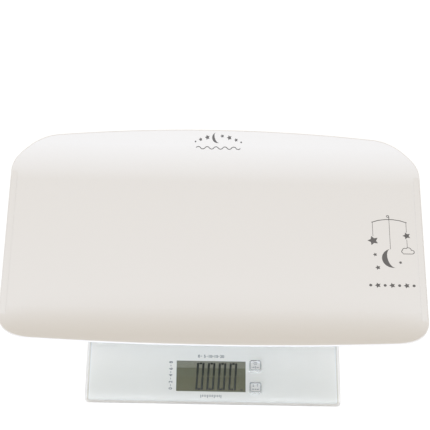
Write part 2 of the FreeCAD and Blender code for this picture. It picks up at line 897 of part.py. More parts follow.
def make_housing_cover():
    """Bottom cover: board posts, battery box, sliding-door channel and screw counterbores."""
    body = new_body("housing_cover", 0, 0, cover_bottom)
    plate = new_sketch(body, "XY_Plane")
    add_rounded(plate, -size("housing_left"), housing_front, size("housing_right"), housing_rear,
                size("housing_corner"))
    pad(body, plate, size("cover_thickness"))
    bevel_edges(body, size("cover_edge_bevel"), level_at(0))

    wall = size("cell_wall")
    box = new_sketch(body, "XY_Plane", size("cover_thickness") / 2)
    half = cell_row_half + wall
    add_rectangle(box, -half, cells_front - wall, half, cells_rear + wall)
    pad(body, box, cells_roof + wall - cover_bottom - size("cover_thickness") / 2)
    posts = new_sketch(body, "XY_Plane", size("cover_thickness") / 2)
    for x, y in post_places():
        add_circle(posts, x, y, size("post_diameter"))
    pad(body, posts, size("board_height") - cover_bottom - size("cover_thickness") / 2)
    holes = new_sketch(body, "XY_Plane", size("board_height") - cover_bottom)
    for x, y in post_places():
        add_circle(holes, x, y, size("screw_hole"))
    pocket(body, holes, size("post_hole_depth"), way="down")

    cavity = new_sketch(body, "XY_Plane")
    add_rectangle(cavity, -cell_row_half, cells_front, cell_row_half, cells_rear)
    pocket(body, cavity, cells_roof - cover_bottom)

    clear = size("door_clearance")
    lip = size("door_lip_width")
    slot = new_sketch(body, "XY_Plane")
    add_rectangle(slot, -door_half + lip - clear, door_front - clear,
                  door_half - lip + clear, housing_rear + wall)
    pocket(body, slot, size("door_thickness") + clear)
    tongue = new_sketch(body, "XZ_Plane", -housing_rear - wall)
    add_rectangle(tongue, -door_half - clear, size("door_lip") - clear / 2,
                  door_half + clear, size("door_thickness") + clear)
    pocket(body, tongue, housing_rear + wall - door_front + clear)

    heads = new_sketch(body, "XY_Plane")
    for x, y in boss_places():
        add_circle(heads, x, y, size("counterbore_diameter"))
    pocket(body, heads, size("counterbore_depth"))
    holes = new_sketch(body, "XY_Plane")
    for x, y in boss_places():
        add_circle(holes, x, y, size("screw_hole"))
    pocket(body, holes, size("cover_thickness"))


def make_battery_door():
    """Door that slides out rearwards on two tongues, with finger grooves underneath."""
    body = new_body("battery_door", 0, 0, cover_bottom)
    clear = size("door_clearance")
    lip = size("door_lip_width")
    lower = new_sketch(body, "XY_Plane")
    add_rectangle(lower, -door_half + lip, door_front, door_half - lip, housing_rear)
    pad(body, lower, size("door_thickness"))
    upper = new_sketch(body, "XY_Plane", size("door_lip") + clear / 2)
    add_rectangle(upper, -door_half, door_front, door_half, housing_rear - size("door_tongue_inset"))
    pad(body, upper, size("door_thickness") - size("door_lip") - clear / 2)
    grooves = new_sketch(body, "XY_Plane")
    wide = size("door_groove_width") / 2
    reach = door_half / 2
    for number in range(int(SIZES["door_groove_count"])):
        y = cells_y + size("door_groove_pitch") * number
        add_rectangle(grooves, -reach, y - wide, reach, y + wide)
    pocket(body, grooves, size("door_groove_depth"))


def battery_rows():
    """The two cells side by side: a name, its place across and the way its tip points."""
    pitch = (size("battery_diameter") + size("battery_gap")) / 2
    return [("front", cells_y - pitch, 1), ("rear", cells_y + pitch, -1)]


def make_battery(name, y, way):
    """AAA cell lying along X, its tip against a flat contact."""
    shift = size("contact_bow") / 2 * way
    body = new_body(f"battery_{name}", shift, y, cell_axis_z)
    radius = size("battery_diameter") / 2
    tip_radius = size("battery_tip_diameter") / 2
    half = size("battery_length") / 2
    shoulder = half - size("battery_tip_length")
    section = new_sketch(body, "XY_Plane")
    points = [(-half, 0), (half, 0), (half, tip_radius),
              (shoulder, tip_radius), (shoulder, radius), (-half, radius)]
    if way < 0:
        points = [(-along, across) for along, across in reversed(points)]
    add_outline(section, points)
    revolve(body, section, "H_Axis")


def make_contacts():
    """Flat contacts behind the tips, and bowed leaf contacts behind the cells' bases."""
    flat = new_body("flat_contacts", 0, 0, cell_axis_z)
    bowed = new_body("leaf_contacts", 0, 0, cell_axis_z)
    thick = size("contact_thickness")
    tall = size("contact_height")
    wide = size("battery_diameter") / 2 - size("battery_gap")
    plates = new_sketch(flat, "XY_Plane")
    leaves = new_sketch(bowed, "XY_Plane")
    for _, y, way in battery_rows():
        end = cell_row_half * way
        inner = end - thick * way
        add_rectangle(plates, smaller(end, inner), y - wide, larger(end, inner), y + wide)
        add_leaf(leaves, -end, y, wide, way)
    pad(flat, plates, tall, symmetric=True)
    pad(bowed, leaves, tall, symmetric=True)


def add_leaf(sketch, wall_x, y, wide, way):
    """A strip bowed away from the wall at wall_x, towards the cell; way is the cell's side."""
    thick = size("contact_thickness")
    bow = size("contact_bow") - thick
    radius = (wide * wide + bow * bow) / (2 * bow)
    bend = -radius if way > 0 else radius
    outer = radius + thick
    far = outer if way > 0 else -outer
    tip = root(outer * outer - radius * radius + wide * wide)
    add_outline(sketch, [
        (wall_x, y + wide, bend),
        (wall_x, y - wide),
        (wall_x, y - tip, far),
        (wall_x, y + tip),
    ])


# ---------------------------------------------------------------------------
# Circuit board, display and switches
# ---------------------------------------------------------------------------
def make_board():
    """Circuit board on the cover's posts, cut back round the battery box."""
    body = new_body("circuit_board", 0, 0, size("board_height"))
    notch = cell_row_half + size("cell_wall") + size("board_side_gap")
    notch_front = cells_front - size("cell_wall") - size("board_front_gap")
    outline = new_sketch(body, "XY_Plane")
    add_outline(outline, [
        (board_left, board_front),
        (board_right, board_front),
        (board_right, board_rear),
        (notch, board_rear),
        (notch, notch_front),
        (-notch, notch_front),
        (-notch, board_rear),
        (board_left, board_rear),
    ])
    pad(body, outline, size("board_thickness"))
    holes = new_sketch(body, "XY_Plane")
    for x, y in post_places():
        add_circle(holes, x, y, size("screw_hole"))
    pocket(body, holes, size("board_thickness"))


display_half_width = size("window_width") / 2 + size("display_border")
display_half_depth = size("window_depth") / 2 + size("display_border")
holder_top = size("glass_height") - size("holder_gap")
display_base = holder_top - size("display_thickness")


def make_display():
    """Liquid-crystal cell, its holder and the two strips that join it to the board."""
    cell = new_body("display_glass", window_x, window_y, display_base)
    pane = new_sketch(cell, "XY_Plane")
    add_rectangle(pane, -display_half_width, -display_half_depth, display_half_width, display_half_depth)
    pad(cell, pane, size("display_thickness"))

    holder = new_body("display_holder", window_x, window_y, board_top)
    clear = size("display_clearance")
    wall = size("holder_wall")
    inner_x = display_half_width + clear
    inner_y = display_half_depth + clear
    ring = new_sketch(holder, "XY_Plane")
    add_rounded(ring, -inner_x - wall, -inner_y - wall, inner_x + wall, inner_y + wall, wall)
    add_rectangle(ring, -inner_x, -inner_y, inner_x, inner_y)
    pad(holder, ring, holder_top - board_top)

    strips = new_body("zebra_strips", window_x, window_y, board_top)
    rows = new_sketch(strips, "XY_Plane")
    thick = size("zebra_width")
    row_y = display_half_depth - size("zebra_inset") - thick
    for low in (-row_y - thick, row_y):
        add_rectangle(rows, -display_half_width + wall, low, display_half_width - wall, low + thick)
    pad(strips, rows, display_base - board_top)


def make_board_parts():
    """Sealed processor and timing crystal on the board, beside the display."""
    chip = new_body("processor", key_x, key_front_y + size("key_pitch") / 2, board_top)
    square = new_sketch(chip, "XY_Plane")
    half = size("chip_size") / 2
    add_rounded(square, -half, -half, half, half, size("chip_height") / 2)
    pad(chip, square, size("chip_height"))

    can = new_body("crystal", size("crystal_place") - size("rear_lead_place"),
                   board_rear - size("crystal_length"), board_top)
    oval = new_sketch(can, "XY_Plane")
    radius = size("crystal_diameter") / 2
    reach = size("crystal_length") / 2
    add_rounded(oval, -radius, -reach, radius, reach, radius - size("crystal_flat"))
    pad(can, oval, size("crystal_diameter"))


# ---------------------------------------------------------------------------
# Keys
# ---------------------------------------------------------------------------
plunger_top = board_top + size("switch_height") + size("plunger_rise")


def make_key(name, x, y):
    """Square cap in the glass, with a flange that stops it from below and a stem."""
    key = new_body(f"{name}_key", x, y, plunger_top)
    half = size("key_size") / 2
    flange = half + size("key_flange")
    flange_top = size("glass_height") - plunger_top
    flange_base = flange_top - size("key_flange_thickness")
    stem = new_sketch(key, "XY_Plane")
    add_circle(stem, 0, 0, size("key_stem_diameter"))
    pad(key, stem, flange_base + size("key_flange_thickness") / 2)
    rest = new_sketch(key, "XY_Plane", flange_base)
    add_rounded(rest, -flange, -flange, flange, flange, size("key_corner"))
    pad(key, rest, size("key_flange_thickness"))
    cap = new_sketch(key, "XY_Plane", flange_top - size("key_flange_thickness") / 2)
    add_rounded(cap, -half, -half, half, half, size("key_corner"))
    cap_height = size("glass_thickness") + size("key_proud")
    pad(key, cap, cap_height + size("key_flange_thickness") / 2)
    bevel_edges(key, size("key_edge_bevel"), level_at(flange_top + cap_height))


def make_switch(name, x, y):
    """Push switch on the board, and the plunger that the key's stem stands on."""
    switch = new_body(f"{name}_switch", x, y, board_top)
    case = new_sketch(switch, "XY_Plane")
    add_square(case, 0, 0, size("switch_size"))
    pad(switch, case, size("switch_height"))
    bore = new_sketch(switch, "XY_Plane", size("switch_height"))
    add_circle(bore, 0, 0, size("plunger_diameter") + 2 * size("plunger_clearance"))
    inside = size("switch_height") - size("plunger_floor")
    pocket(switch, bore, inside, way="down")

    depth = inside - size("key_travel") - size("plunger_clearance")
    plunger = new_body(f"{name}_plunger", x, y, board_top + size("switch_height") - depth)
    disc = new_sketch(plunger, "XY_Plane")
    add_circle(disc, 0, 0, size("plunger_diameter"))
    pad(plunger, disc, depth + size("plunger_rise"))


# ---------------------------------------------------------------------------
# Leads and their clips
# ---------------------------------------------------------------------------
lead_z = size("glass_height") - lead_channel / 2


def lead_routes():
    """Corner points of each lead, from its load cell to the board."""
    height = lead_z.value
    reach = size("lead_reach").value
    start_z = cell_top.value
    end_z = board_top.value
    routes = []
    for name, x, y in foot_places():
        side = math.copysign(1, x.value)
        if name.startswith("front"):
            board_edge = board_right if side > 0 else board_left
            start_x = x.value - side * reach
            end_x = board_edge.value - side * size("lead_end_inset").value
            points = [
                (start_x, y.value, start_z),
                (start_x, y.value, height),
                (end_x, y.value, height),
                (end_x, y.value, end_z),
            ]
        else:
            start_y = y.value - reach
            bend_y = y.value - size("lead_side_run").value
            end_x = side * size("rear_lead_place").value
            end_y = (board_rear - size("rear_lead_end")).value
            points = [
                (x.value, start_y, start_z),
                (x.value, start_y, height),
                (x.value, bend_y, height),
                (end_x, bend_y - abs(x.value - end_x), height),
                (end_x, end_y, height),
                (end_x, end_y, end_z),
            ]
        routes.append((name, [FreeCAD.Vector(*point) for point in points]))
    return routes


def rounded_path(points, radii):
    """Straight runs joined by tangent arcs, one radius for each inner point."""
    edges = []
    start = points[0]
    for corner, before, after, radius in zip(points[1:], points, points[2:], radii):
        back = (before - corner).normalize()
        ahead = (after - corner).normalize()
        half_turn = (math.pi - back.getAngle(ahead)) / 2
        reach = radius * math.tan(half_turn)
        first = corner + back * reach
        last = corner + ahead * reach
        middle_way = (back + ahead).normalize()
        middle = corner + middle_way * (radius / math.cos(half_turn) - radius)
        edges.append(Part.LineSegment(start, first).toShape())
        edges.append(Part.Arc(first, middle, last).toShape())
        start = last
    edges.append(Part.LineSegment(start, points[-1]).toShape())
    return Part.Wire(edges)


def make_leads():
    """Jacketed leads, each swept along its own route under the glass."""
    radius = size("lead_diameter").value / 2
    for name, points in lead_routes():
        drop = (points[1] - points[0]).Length - size("lead_straight").value
        radii = [min(size("lead_drop_radius").value, drop)]
        radii += [size("lead_bend_radius").value] * (len(points) - 4)
        radii.append(size("lead_drop_radius").value)
        path = rounded_path(points, radii)
        ring = Part.Wire(Part.Circle(points[0], points[1] - points[0], radius).toShape())
        tube = path.makePipeShell([ring], True, False)
        expected = math.pi * radius**2 * path.Length
        print(f"lead {name}: {path.Length:.1f} mm, arcs {[round(item, 1) for item in radii]}")
        if abs(tube.Volume / expected - 1) > 0.01:
            raise ValueError(f"lead {name}: the tube's volume is not its section times its length")
        lead = doc.addObject("Part::Feature", f"lead_{name}")
        lead.Label = f"lead_{name}"
        lead.Shape = tube


def clip_places():
    """Clips beside the housings and halfway along slanted runs: middle, and way of the run."""
    places = []
    off = size("clip_size") / 2 + size("clip_margin")
    foot_half = size("foot_housing_size") / 2
    for name, x, y in foot_places():
        if name == "front_left":
            places.append((x + foot_half + off, y, (1, 0)))
        elif name == "front_right":
            places.append((x - foot_half - off, y, (1, 0)))
        else:
            side = -1 if name == "rear_left" else 1
            inner_x = side * size("rear_lead_place")
            bend_y = y - size("lead_side_run")
            fall = side * (x - inner_x)
            places.append((x, y - foot_half - off, (0, 1)))
            places.append(((x + inner_x) / 2, bend_y - fall / 2, (-side, -1)))
            places.append((inner_x, housing_rear + off, (0, 1)))
    return places


def add_turned(sketch, x, y, way, length, width):
    """A rectangle round a middle point, its length along the given way."""
    scale = 2 * math.hypot(*way)
    along = (length * way[0] / scale, length * way[1] / scale)
    across = (width * -way[1] / scale, width * way[0] / scale)
    add_outline(sketch, [(x + turn * along[0] + side * across[0], y + turn * along[1] + side * across[1])
                         for turn, side in ((-1, -1), (1, -1), (1, 1), (-1, 1))])


def make_clips():
    """Square saddles bonded under the glass, each with a channel for its lead."""
    depth = lead_channel + size("clip_floor")
    width = size("clip_size")
    body = new_body("lead_clips", 0, 0, size("glass_height") - depth)
    blocks = new_sketch(body, "XY_Plane")
    for x, y, way in clip_places():
        add_turned(blocks, x, y, way, width, width)
    pad(body, blocks, depth)
    channels = new_sketch(body, "XY_Plane", depth)
    for x, y, way in clip_places():
        add_turned(channels, x, y, way, 2 * width, lead_channel)
    pocket(body, channels, lead_channel, way="down")


# ---------------------------------------------------------------------------
# Build, check and export
# ---------------------------------------------------------------------------
def build():
    make_tray()
    make_tray_pads()
    make_glass()
    for name, x, y in foot_places():
        make_foot_housing(name, x, y)
        make_load_cell(name, x, y)
        make_foot_cap(name, x, y)
        make_foot_pad(name, x, y)
    make_housing_frame()
    make_housing_cover()
    make_battery_door()
    for name, y, way in battery_rows():
        make_battery(name, y, way)
    make_contacts()
    make_board()
    make_display()
    make_board_parts()
    for name, x, y in key_places():
        make_key(name, x, y)
        make_switch(name, x, y)
    make_leads()
    make_clips()
    doc.recompute()


def check_and_export():
    """Stop on a failed object or a bad shape, then write one file for each sub-part."""
    failed = [item.Name for item in doc.Objects if "Invalid" in item.State or "Error" in item.State]
    if failed:
        raise ValueError(f"failed objects: {failed}")
    parts = [item for item in doc.Objects
             if item.TypeId in ("PartDesign::Body", "Part::Feature")]
    for part in parts:
        shape = part.Shape
        if shape.isNull() or not shape.isValid() or shape.Volume <= 0:
            raise ValueError(f"{part.Label}: bad shape")
    os.makedirs("parts", exist_ok=True)
    for part in parts:
        part.Shape.exportStep(f"parts/{part.Label}.step")
        print(f"{part.Label}: {len(part.Shape.Solids)} solid(s), {part.Shape.Volume:.0f} mm3")


build()
check_and_export()
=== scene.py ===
# %% [markdown]
# # A digital baby weighing scale
# The real object is a shallow white tray, moulded as a trough, that lies on a low glass platform.
# The platform stands on four load-cell feet and shows the weight in a window in front of the tray.
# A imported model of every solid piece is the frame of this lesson. We light it, give each piece a
# finish worked out by nodes, and add what is too thin for solids: paint, prints and digits.

# %% Load the frame
import json
import math

import bmesh
import bpy
from mathutils import Matrix, Vector


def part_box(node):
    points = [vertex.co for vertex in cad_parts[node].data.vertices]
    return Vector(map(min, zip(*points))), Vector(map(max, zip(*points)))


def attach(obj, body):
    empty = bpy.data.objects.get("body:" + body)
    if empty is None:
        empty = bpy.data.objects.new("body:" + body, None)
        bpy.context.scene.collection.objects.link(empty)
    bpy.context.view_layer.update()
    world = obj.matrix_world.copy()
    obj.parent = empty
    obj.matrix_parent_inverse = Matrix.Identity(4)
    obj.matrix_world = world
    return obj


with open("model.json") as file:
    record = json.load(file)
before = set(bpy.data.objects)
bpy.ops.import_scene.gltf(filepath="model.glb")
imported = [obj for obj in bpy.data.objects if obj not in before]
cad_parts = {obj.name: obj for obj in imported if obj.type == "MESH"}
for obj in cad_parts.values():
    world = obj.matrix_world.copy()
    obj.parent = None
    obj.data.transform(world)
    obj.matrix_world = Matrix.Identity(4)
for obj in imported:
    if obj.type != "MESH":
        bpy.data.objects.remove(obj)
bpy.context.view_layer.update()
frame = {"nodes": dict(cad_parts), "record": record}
nodes = frame["nodes"]

# %% [markdown]
# ## The camera
# The scale is seen from well above its front edge through a long lens, so the far edge of the tray
# looks nearly as wide as the near one. The lens is given by its focal length in pixels of a square
# picture, and becomes millimetres on a sensor of the usual width.

# %% Camera
PICTURE_SIDE = 430
FOCAL_PIXELS = 1730.39
SENSOR_WIDTH = 36
CAMERA_PLACE = (-0.024811, -1.183808, 1.96025)
CAMERA_TURN = (33.2777, -1.0976, 0.5504)

scene = bpy.context.scene
lens = bpy.data.cameras.new("camera_lens")
lens.sensor_width = SENSOR_WIDTH
lens.lens = FOCAL_PIXELS * SENSOR_WIDTH / PICTURE_SIDE
camera = bpy.data.objects.new("camera", lens)
camera.location = CAMERA_PLACE
camera.rotation_euler = [math.radians(angle) for angle in CAMERA_TURN]
scene.collection.objects.link(camera)
scene.camera = camera
scene.view_settings.view_transform = "Standard"
print(f"camera with a {lens.lens:.1f} mm lens, {Vector(CAMERA_PLACE).length:.2f} m away")

# %% [markdown]
# ## Colours and light
# Colours are noted as they look on a screen, from 0 to 255, and turned into the linear values
# that shaders count in. The room is one even, slightly warm surround. A large cooler softbox stands
# low in front, so the trough's rear wall is its brightest part and the front wall, which looks away
# from the softbox, keeps the warm tone of the room.
# A camera ray, a mirrored ray and a ray through glass all see plain white behind the object.

# %% World, softbox and floor
ROOM_LEVEL = 0.745
SOFTBOX_PLACE = (-0.2, -2.6, 1.35)
SOFTBOX_AIM = (0, 0, 0.04)
SOFTBOX_SIZE = (2.6, 1.2)
SOFTBOX_POWER = 55
FLOOR_REACH = 3.0
FLOOR_BOUNCE = (0.8, 0.8, 0.8, 1)
FLOOR_SHADOW = (0.3, 0.3, 0.3, 1)
FLOOR_GLOW = 0.86


def paint(red, green, blue):
    """A screen colour as a linear colour with full alpha, by the standard screen curve."""
    linear = []
    for level in (red, green, blue):
        share = level / 255
        linear.append(share / 12.92 if share <= 0.04045 else ((share + 0.055) / 1.055) ** 2.4)
    return (*linear, 1.0)


def seen_directly(tree):
    """A value that is 1 for rays that show the background itself, and 0 for rays that light."""
    path = tree.nodes.new("ShaderNodeLightPath")
    share = path.outputs["Is Camera Ray"]
    for name in ("Is Glossy Ray", "Is Transmission Ray"):
        larger = tree.nodes.new("ShaderNodeMath")
        larger.operation = "MAXIMUM"
        tree.links.new(share, larger.inputs[0])
        tree.links.new(path.outputs[name], larger.inputs[1])
        share = larger.outputs[0]
    return share


def light_world(level, tint):
    """An even room of one tint that looks plain white wherever it is seen directly."""
    world = bpy.data.worlds.new("studio")
    world.use_nodes = True
    tree = world.node_tree
    room = tree.nodes["Background"]
    room.inputs["Color"].default_value = tint
    room.inputs["Strength"].default_value = level
    white = tree.nodes.new("ShaderNodeBackground")
    white.inputs["Color"].default_value = (1, 1, 1, 1)
    white.inputs["Strength"].default_value = 1
    choice = tree.nodes.new("ShaderNodeMixShader")
    tree.links.new(seen_directly(tree), choice.inputs["Fac"])
    tree.links.new(room.outputs[0], choice.inputs[1])
    tree.links.new(white.outputs[0], choice.inputs[2])
    tree.links.new(choice.outputs[0], tree.nodes["World Output"].inputs["Surface"])
    scene.world = world


def add_softbox(name, place, aim, size, power, tint):
    """A rectangular lamp that looks at a point."""
    lamp = bpy.data.lights.new(name, "AREA")
    lamp.shape = "RECTANGLE"
    lamp.size, lamp.size_y = size
    lamp.energy = power
    lamp.color = tint[:3]
    box = bpy.data.objects.new(name, lamp)
    box.location = place
    box.rotation_euler = (Vector(aim) - Vector(place)).to_track_quat("-Z", "Y").to_euler()
    scene.collection.objects.link(box)
    print(f"{name}: {size[0]} by {size[1]} m, {power} W")


def add_floor(reach):
    """A white floor that keeps a faint shadow, and is white wherever no shadow falls."""
    mesh = bmesh.new()
    bmesh.ops.create_grid(mesh, x_segments=1, y_segments=1, size=reach)
    sheet = bpy.data.meshes.new("floor")
    mesh.to_mesh(sheet)
    mesh.free()
    floor = bpy.data.objects.new("floor", sheet)
    scene.collection.objects.link(floor)
    material = bpy.data.materials.new("floor_white")
    material.use_nodes = True
    tree = material.node_tree
    plain = tree.nodes["Principled BSDF"]
    plain.inputs["Base Color"].default_value = FLOOR_BOUNCE
    plain.inputs["Roughness"].default_value = 1
    plain.inputs["Specular IOR Level"].default_value = 0
    shade = tree.nodes.new("ShaderNodeBsdfDiffuse")
    shade.inputs["Color"].default_value = FLOOR_SHADOW
    glow = tree.nodes.new("ShaderNodeEmission")
    glow.inputs["Strength"].default_value = FLOOR_GLOW
    both = tree.nodes.new("ShaderNodeAddShader")
    choice = tree.nodes.new("ShaderNodeMixShader")
    tree.links.new(shade.outputs[0], both.inputs[0])
    tree.links.new(glow.outputs[0], both.inputs[1])
    tree.links.new(seen_directly(tree), choice.inputs["Fac"])
    tree.links.new(plain.outputs[0], choice.inputs[1])
    tree.links.new(both.outputs[0], choice.inputs[2])
    tree.links.new(choice.outputs[0], tree.nodes["Material Output"].inputs["Surface"])
    sheet.materials.append(material)


light_world(ROOM_LEVEL, paint(255, 246, 234))
add_softbox("front_softbox", SOFTBOX_PLACE, SOFTBOX_AIM, SOFTBOX_SIZE, SOFTBOX_POWER,
            paint(215, 231, 255))
add_floor(FLOOR_REACH)

# %% [markdown]
# ## Shared effects
# No real surface has one flat colour. Moulded plastic drifts a little in tone and gloss over a few
# centimetres and has a fine grain; rolled and plated metal is streaked one way; rubber and film
# pick up dust. Each effect is a node group with named inputs, so that every material can use it
# with its own values. The groups read Object coordinates, which stay with a piece as it moves.

# %% Node group helpers
MIX_FIRST, MIX_SECOND, MIX_RESULT = 6, 7, 2


def new_group(name, inputs, outputs):
    """An empty shader group. An input is a name and its starting value, a number or a colour."""
    group = bpy.data.node_groups.new(name, "ShaderNodeTree")
    for title, start in inputs:
        kind = "NodeSocketFloat" if isinstance(start, (int, float)) else "NodeSocketColor"
        socket = group.interface.new_socket(name=title, in_out="INPUT", socket_type=kind)
        socket.default_value = start
    for title, kind in outputs:
        group.interface.new_socket(name=title, in_out="OUTPUT", socket_type=kind)
    given = group.nodes.new("NodeGroupInput").outputs
    result = group.nodes.new("NodeGroupOutput").inputs
    return group, given, result


def feed(tree, socket, source):
    """Link a socket to another one, or write a plain value to it."""
    if isinstance(source, bpy.types.NodeSocket):
        tree.links.new(source, socket)
    else:
        socket.default_value = source


def count(tree, operation, *sources):
    """One step of arithmetic on sockets and numbers."""
    step = tree.nodes.new("ShaderNodeMath")
    step.operation = operation
    for socket, source in zip(step.inputs, sources):
        feed(tree, socket, source)
    return step.outputs[0]


def noise(tree, vector, scale, detail):
    """A cloud of values round 0.5."""
    cloud = tree.nodes.new("ShaderNodeTexNoise")
    feed(tree, cloud.inputs["Vector"], vector)
    feed(tree, cloud.inputs["Scale"], scale)
    feed(tree, cloud.inputs["Detail"], detail)
    return cloud.outputs["Fac"]


def object_place(tree, stretch=(1, 1, 1)):
    """Object coordinates, stretched by a plain vector."""
    mapping = tree.nodes.new("ShaderNodeMapping")
    mapping.inputs["Scale"].default_value = stretch
    tree.links.new(tree.nodes.new("ShaderNodeTexCoord").outputs["Object"], mapping.inputs["Vector"])
    return mapping.outputs["Vector"]


def drift(tree, base, field, spread):
    """base + (field - 0.5) * spread."""
    return count(tree, "MULTIPLY_ADD", count(tree, "SUBTRACT", field, 0.5), spread, base)


def shade_by(tree, colour, field, spread):
    """The colour, lighter and darker by the field."""
    tone = tree.nodes.new("ShaderNodeHueSaturation")
    feed(tree, tone.inputs["Color"], colour)
    feed(tree, tone.inputs["Value"], drift(tree, 1.0, field, spread))
    return tone.outputs["Color"]


def blend_colours(tree, share, first, second):
    """The first colour where the share is 0, and the second where it is 1."""
    mix = tree.nodes.new("ShaderNodeMix")
    mix.data_type = "RGBA"
    feed(tree, mix.inputs["Factor"], share)
    feed(tree, mix.inputs[MIX_FIRST], first)
    feed(tree, mix.inputs[MIX_SECOND], second)
    return mix.outputs[MIX_RESULT]


SURFACE_OUTPUTS = [("Color", "NodeSocketColor"), ("Roughness", "NodeSocketFloat"),
                   ("Height", "NodeSocketFloat")]

# %% Moulded, brushed and dusty surfaces
def make_moulded_group():
    """Slow drift of tone and gloss, with a fine grain for the bump."""
    group, given, result = new_group("moulded surface", [
        ("Color", (0.8, 0.8, 0.8, 1.0)), ("Tone Drift", 0.03), ("Drift Scale", 9.0),
        ("Roughness", 0.4), ("Gloss Drift", 0.08), ("Grain Scale", 900.0)], SURFACE_OUTPUTS)
    place = object_place(group)
    slow = noise(group, place, given["Drift Scale"], 4.0)
    fine = noise(group, place, given["Grain Scale"], 3.0)
    feed(group, result["Color"], shade_by(group, given["Color"], slow, given["Tone Drift"]))
    feed(group, result["Roughness"], drift(group, given["Roughness"], slow, given["Gloss Drift"]))
    feed(group, result["Height"], fine)
    return group


def make_brushed_group():
    """Streaks along X, as on rolled strip and ground plate, with small darker stains."""
    group, given, result = new_group("brushed surface", [
        ("Color", (0.6, 0.6, 0.6, 1.0)), ("Streak Tone", 0.2), ("Streak Scale", 60.0),
        ("Roughness", 0.3), ("Streak Gloss", 0.2), ("Stain", 0.1)], SURFACE_OUTPUTS)
    streak = noise(group, object_place(group, (1, 40, 40)), given["Streak Scale"], 3.0)
    stain = noise(group, object_place(group), 160.0, 4.0)
    streaked = shade_by(group, given["Color"], streak, given["Streak Tone"])
    feed(group, result["Color"], shade_by(group, streaked, stain, given["Stain"]))
    gloss = drift(group, given["Roughness"], streak, given["Streak Gloss"])
    feed(group, result["Roughness"], gloss)
    feed(group, result["Height"], streak)
    return group


def make_dust_group():
    """Pale dust in patches, thickest near the floor."""
    group, given, result = new_group("settled dust", [
        ("Color", (0.2, 0.2, 0.2, 1.0)), ("Dust", (0.5, 0.48, 0.45, 1.0)), ("Amount", 0.3),
        ("Patch Scale", 120.0), ("Clear Height", 0.03)], [("Color", "NodeSocketColor")])
    place = object_place(group)
    split = group.nodes.new("ShaderNodeSeparateXYZ")
    group.links.new(place, split.inputs[0])
    low = group.nodes.new("ShaderNodeMapRange")
    feed(group, low.inputs["Value"], split.outputs["Z"])
    feed(group, low.inputs["From Min"], given["Clear Height"])
    feed(group, low.inputs["From Max"], 0.0)
    cloud = noise(group, place, given["Patch Scale"], 5.0)
    patch = count(group, "MULTIPLY", cloud, given["Amount"])
    share = count(group, "MULTIPLY", patch, low.outputs["Result"])
    feed(group, result["Color"], blend_colours(group, share, given["Color"], given["Dust"]))
    return group


MOULDED = make_moulded_group()
BRUSHED = make_brushed_group()
DUSTY = make_dust_group()
print("groups:", ", ".join(group.name for group in bpy.data.node_groups))

# %% [markdown]
# ## Finishes
# A finish starts from a Principled shader, whose plain numbers are set on its own sockets. One of
# the groups drives the colour and the roughness, and its height feeds a very shallow bump. Depths
# are real ones: a spark-eroded mould leaves a grain some hundredths of a millimetre deep, while
# the tray's polished mould leaves next to none.

# %% Finish helpers
def new_finish(name, **plain):
    """A material with a Principled shader, and that shader."""
    material = bpy.data.materials.new(name)
    material.use_nodes = True
    shader = material.node_tree.nodes["Principled BSDF"]
    for title, value in plain.items():
        shader.inputs[title.replace("_", " ")].default_value = value
    return material, shader


def place_group(tree, group, values):
    """One of the groups in a material, fed by values or sockets, and what it gives."""
    node = tree.nodes.new("ShaderNodeGroup")
    node.node_tree = group
    for title, value in values.items():
        feed(tree, node.inputs[title], value)
    return node.outputs


def bump(tree, shader, height, depth):
    """A bump of a real depth, in metres."""
    step = tree.nodes.new("ShaderNodeBump")
    step.inputs["Strength"].default_value = 1.0
    step.inputs["Distance"].default_value = depth
    tree.links.new(height, step.inputs["Height"])
    tree.links.new(step.outputs["Normal"], shader.inputs["Normal"])


def moulded(name, colour, roughness, depth, dust=None, values=None, **plain):
    """Plastic or rubber, with dust near the floor where an amount is given."""
    material, shader = new_finish(name, **plain)
    tree = material.node_tree
    surface = place_group(tree, MOULDED,
                          {"Color": colour, "Roughness": roughness, **(values or {})})
    skin = surface["Color"]
    if dust:
        skin = place_group(tree, DUSTY, {"Color": skin, "Amount": dust})["Color"]
    feed(tree, shader.inputs["Base Color"], skin)
    feed(tree, shader.inputs["Roughness"], surface["Roughness"])
    bump(tree, shader, surface["Height"], depth)
    return material


def brushed(name, colour, roughness, depth, values=None, **plain):
    """Rolled, ground or plated metal."""
    material, shader = new_finish(name, Metallic=1.0, **plain)
    tree = material.node_tree
    surface = place_group(tree, BRUSHED,
                          {"Color": colour, "Roughness": roughness, **(values or {})})
    feed(tree, shader.inputs["Base Color"], surface["Color"])
    feed(tree, shader.inputs["Roughness"], surface["Roughness"])
    bump(tree, shader, surface["Height"], depth)
    return material


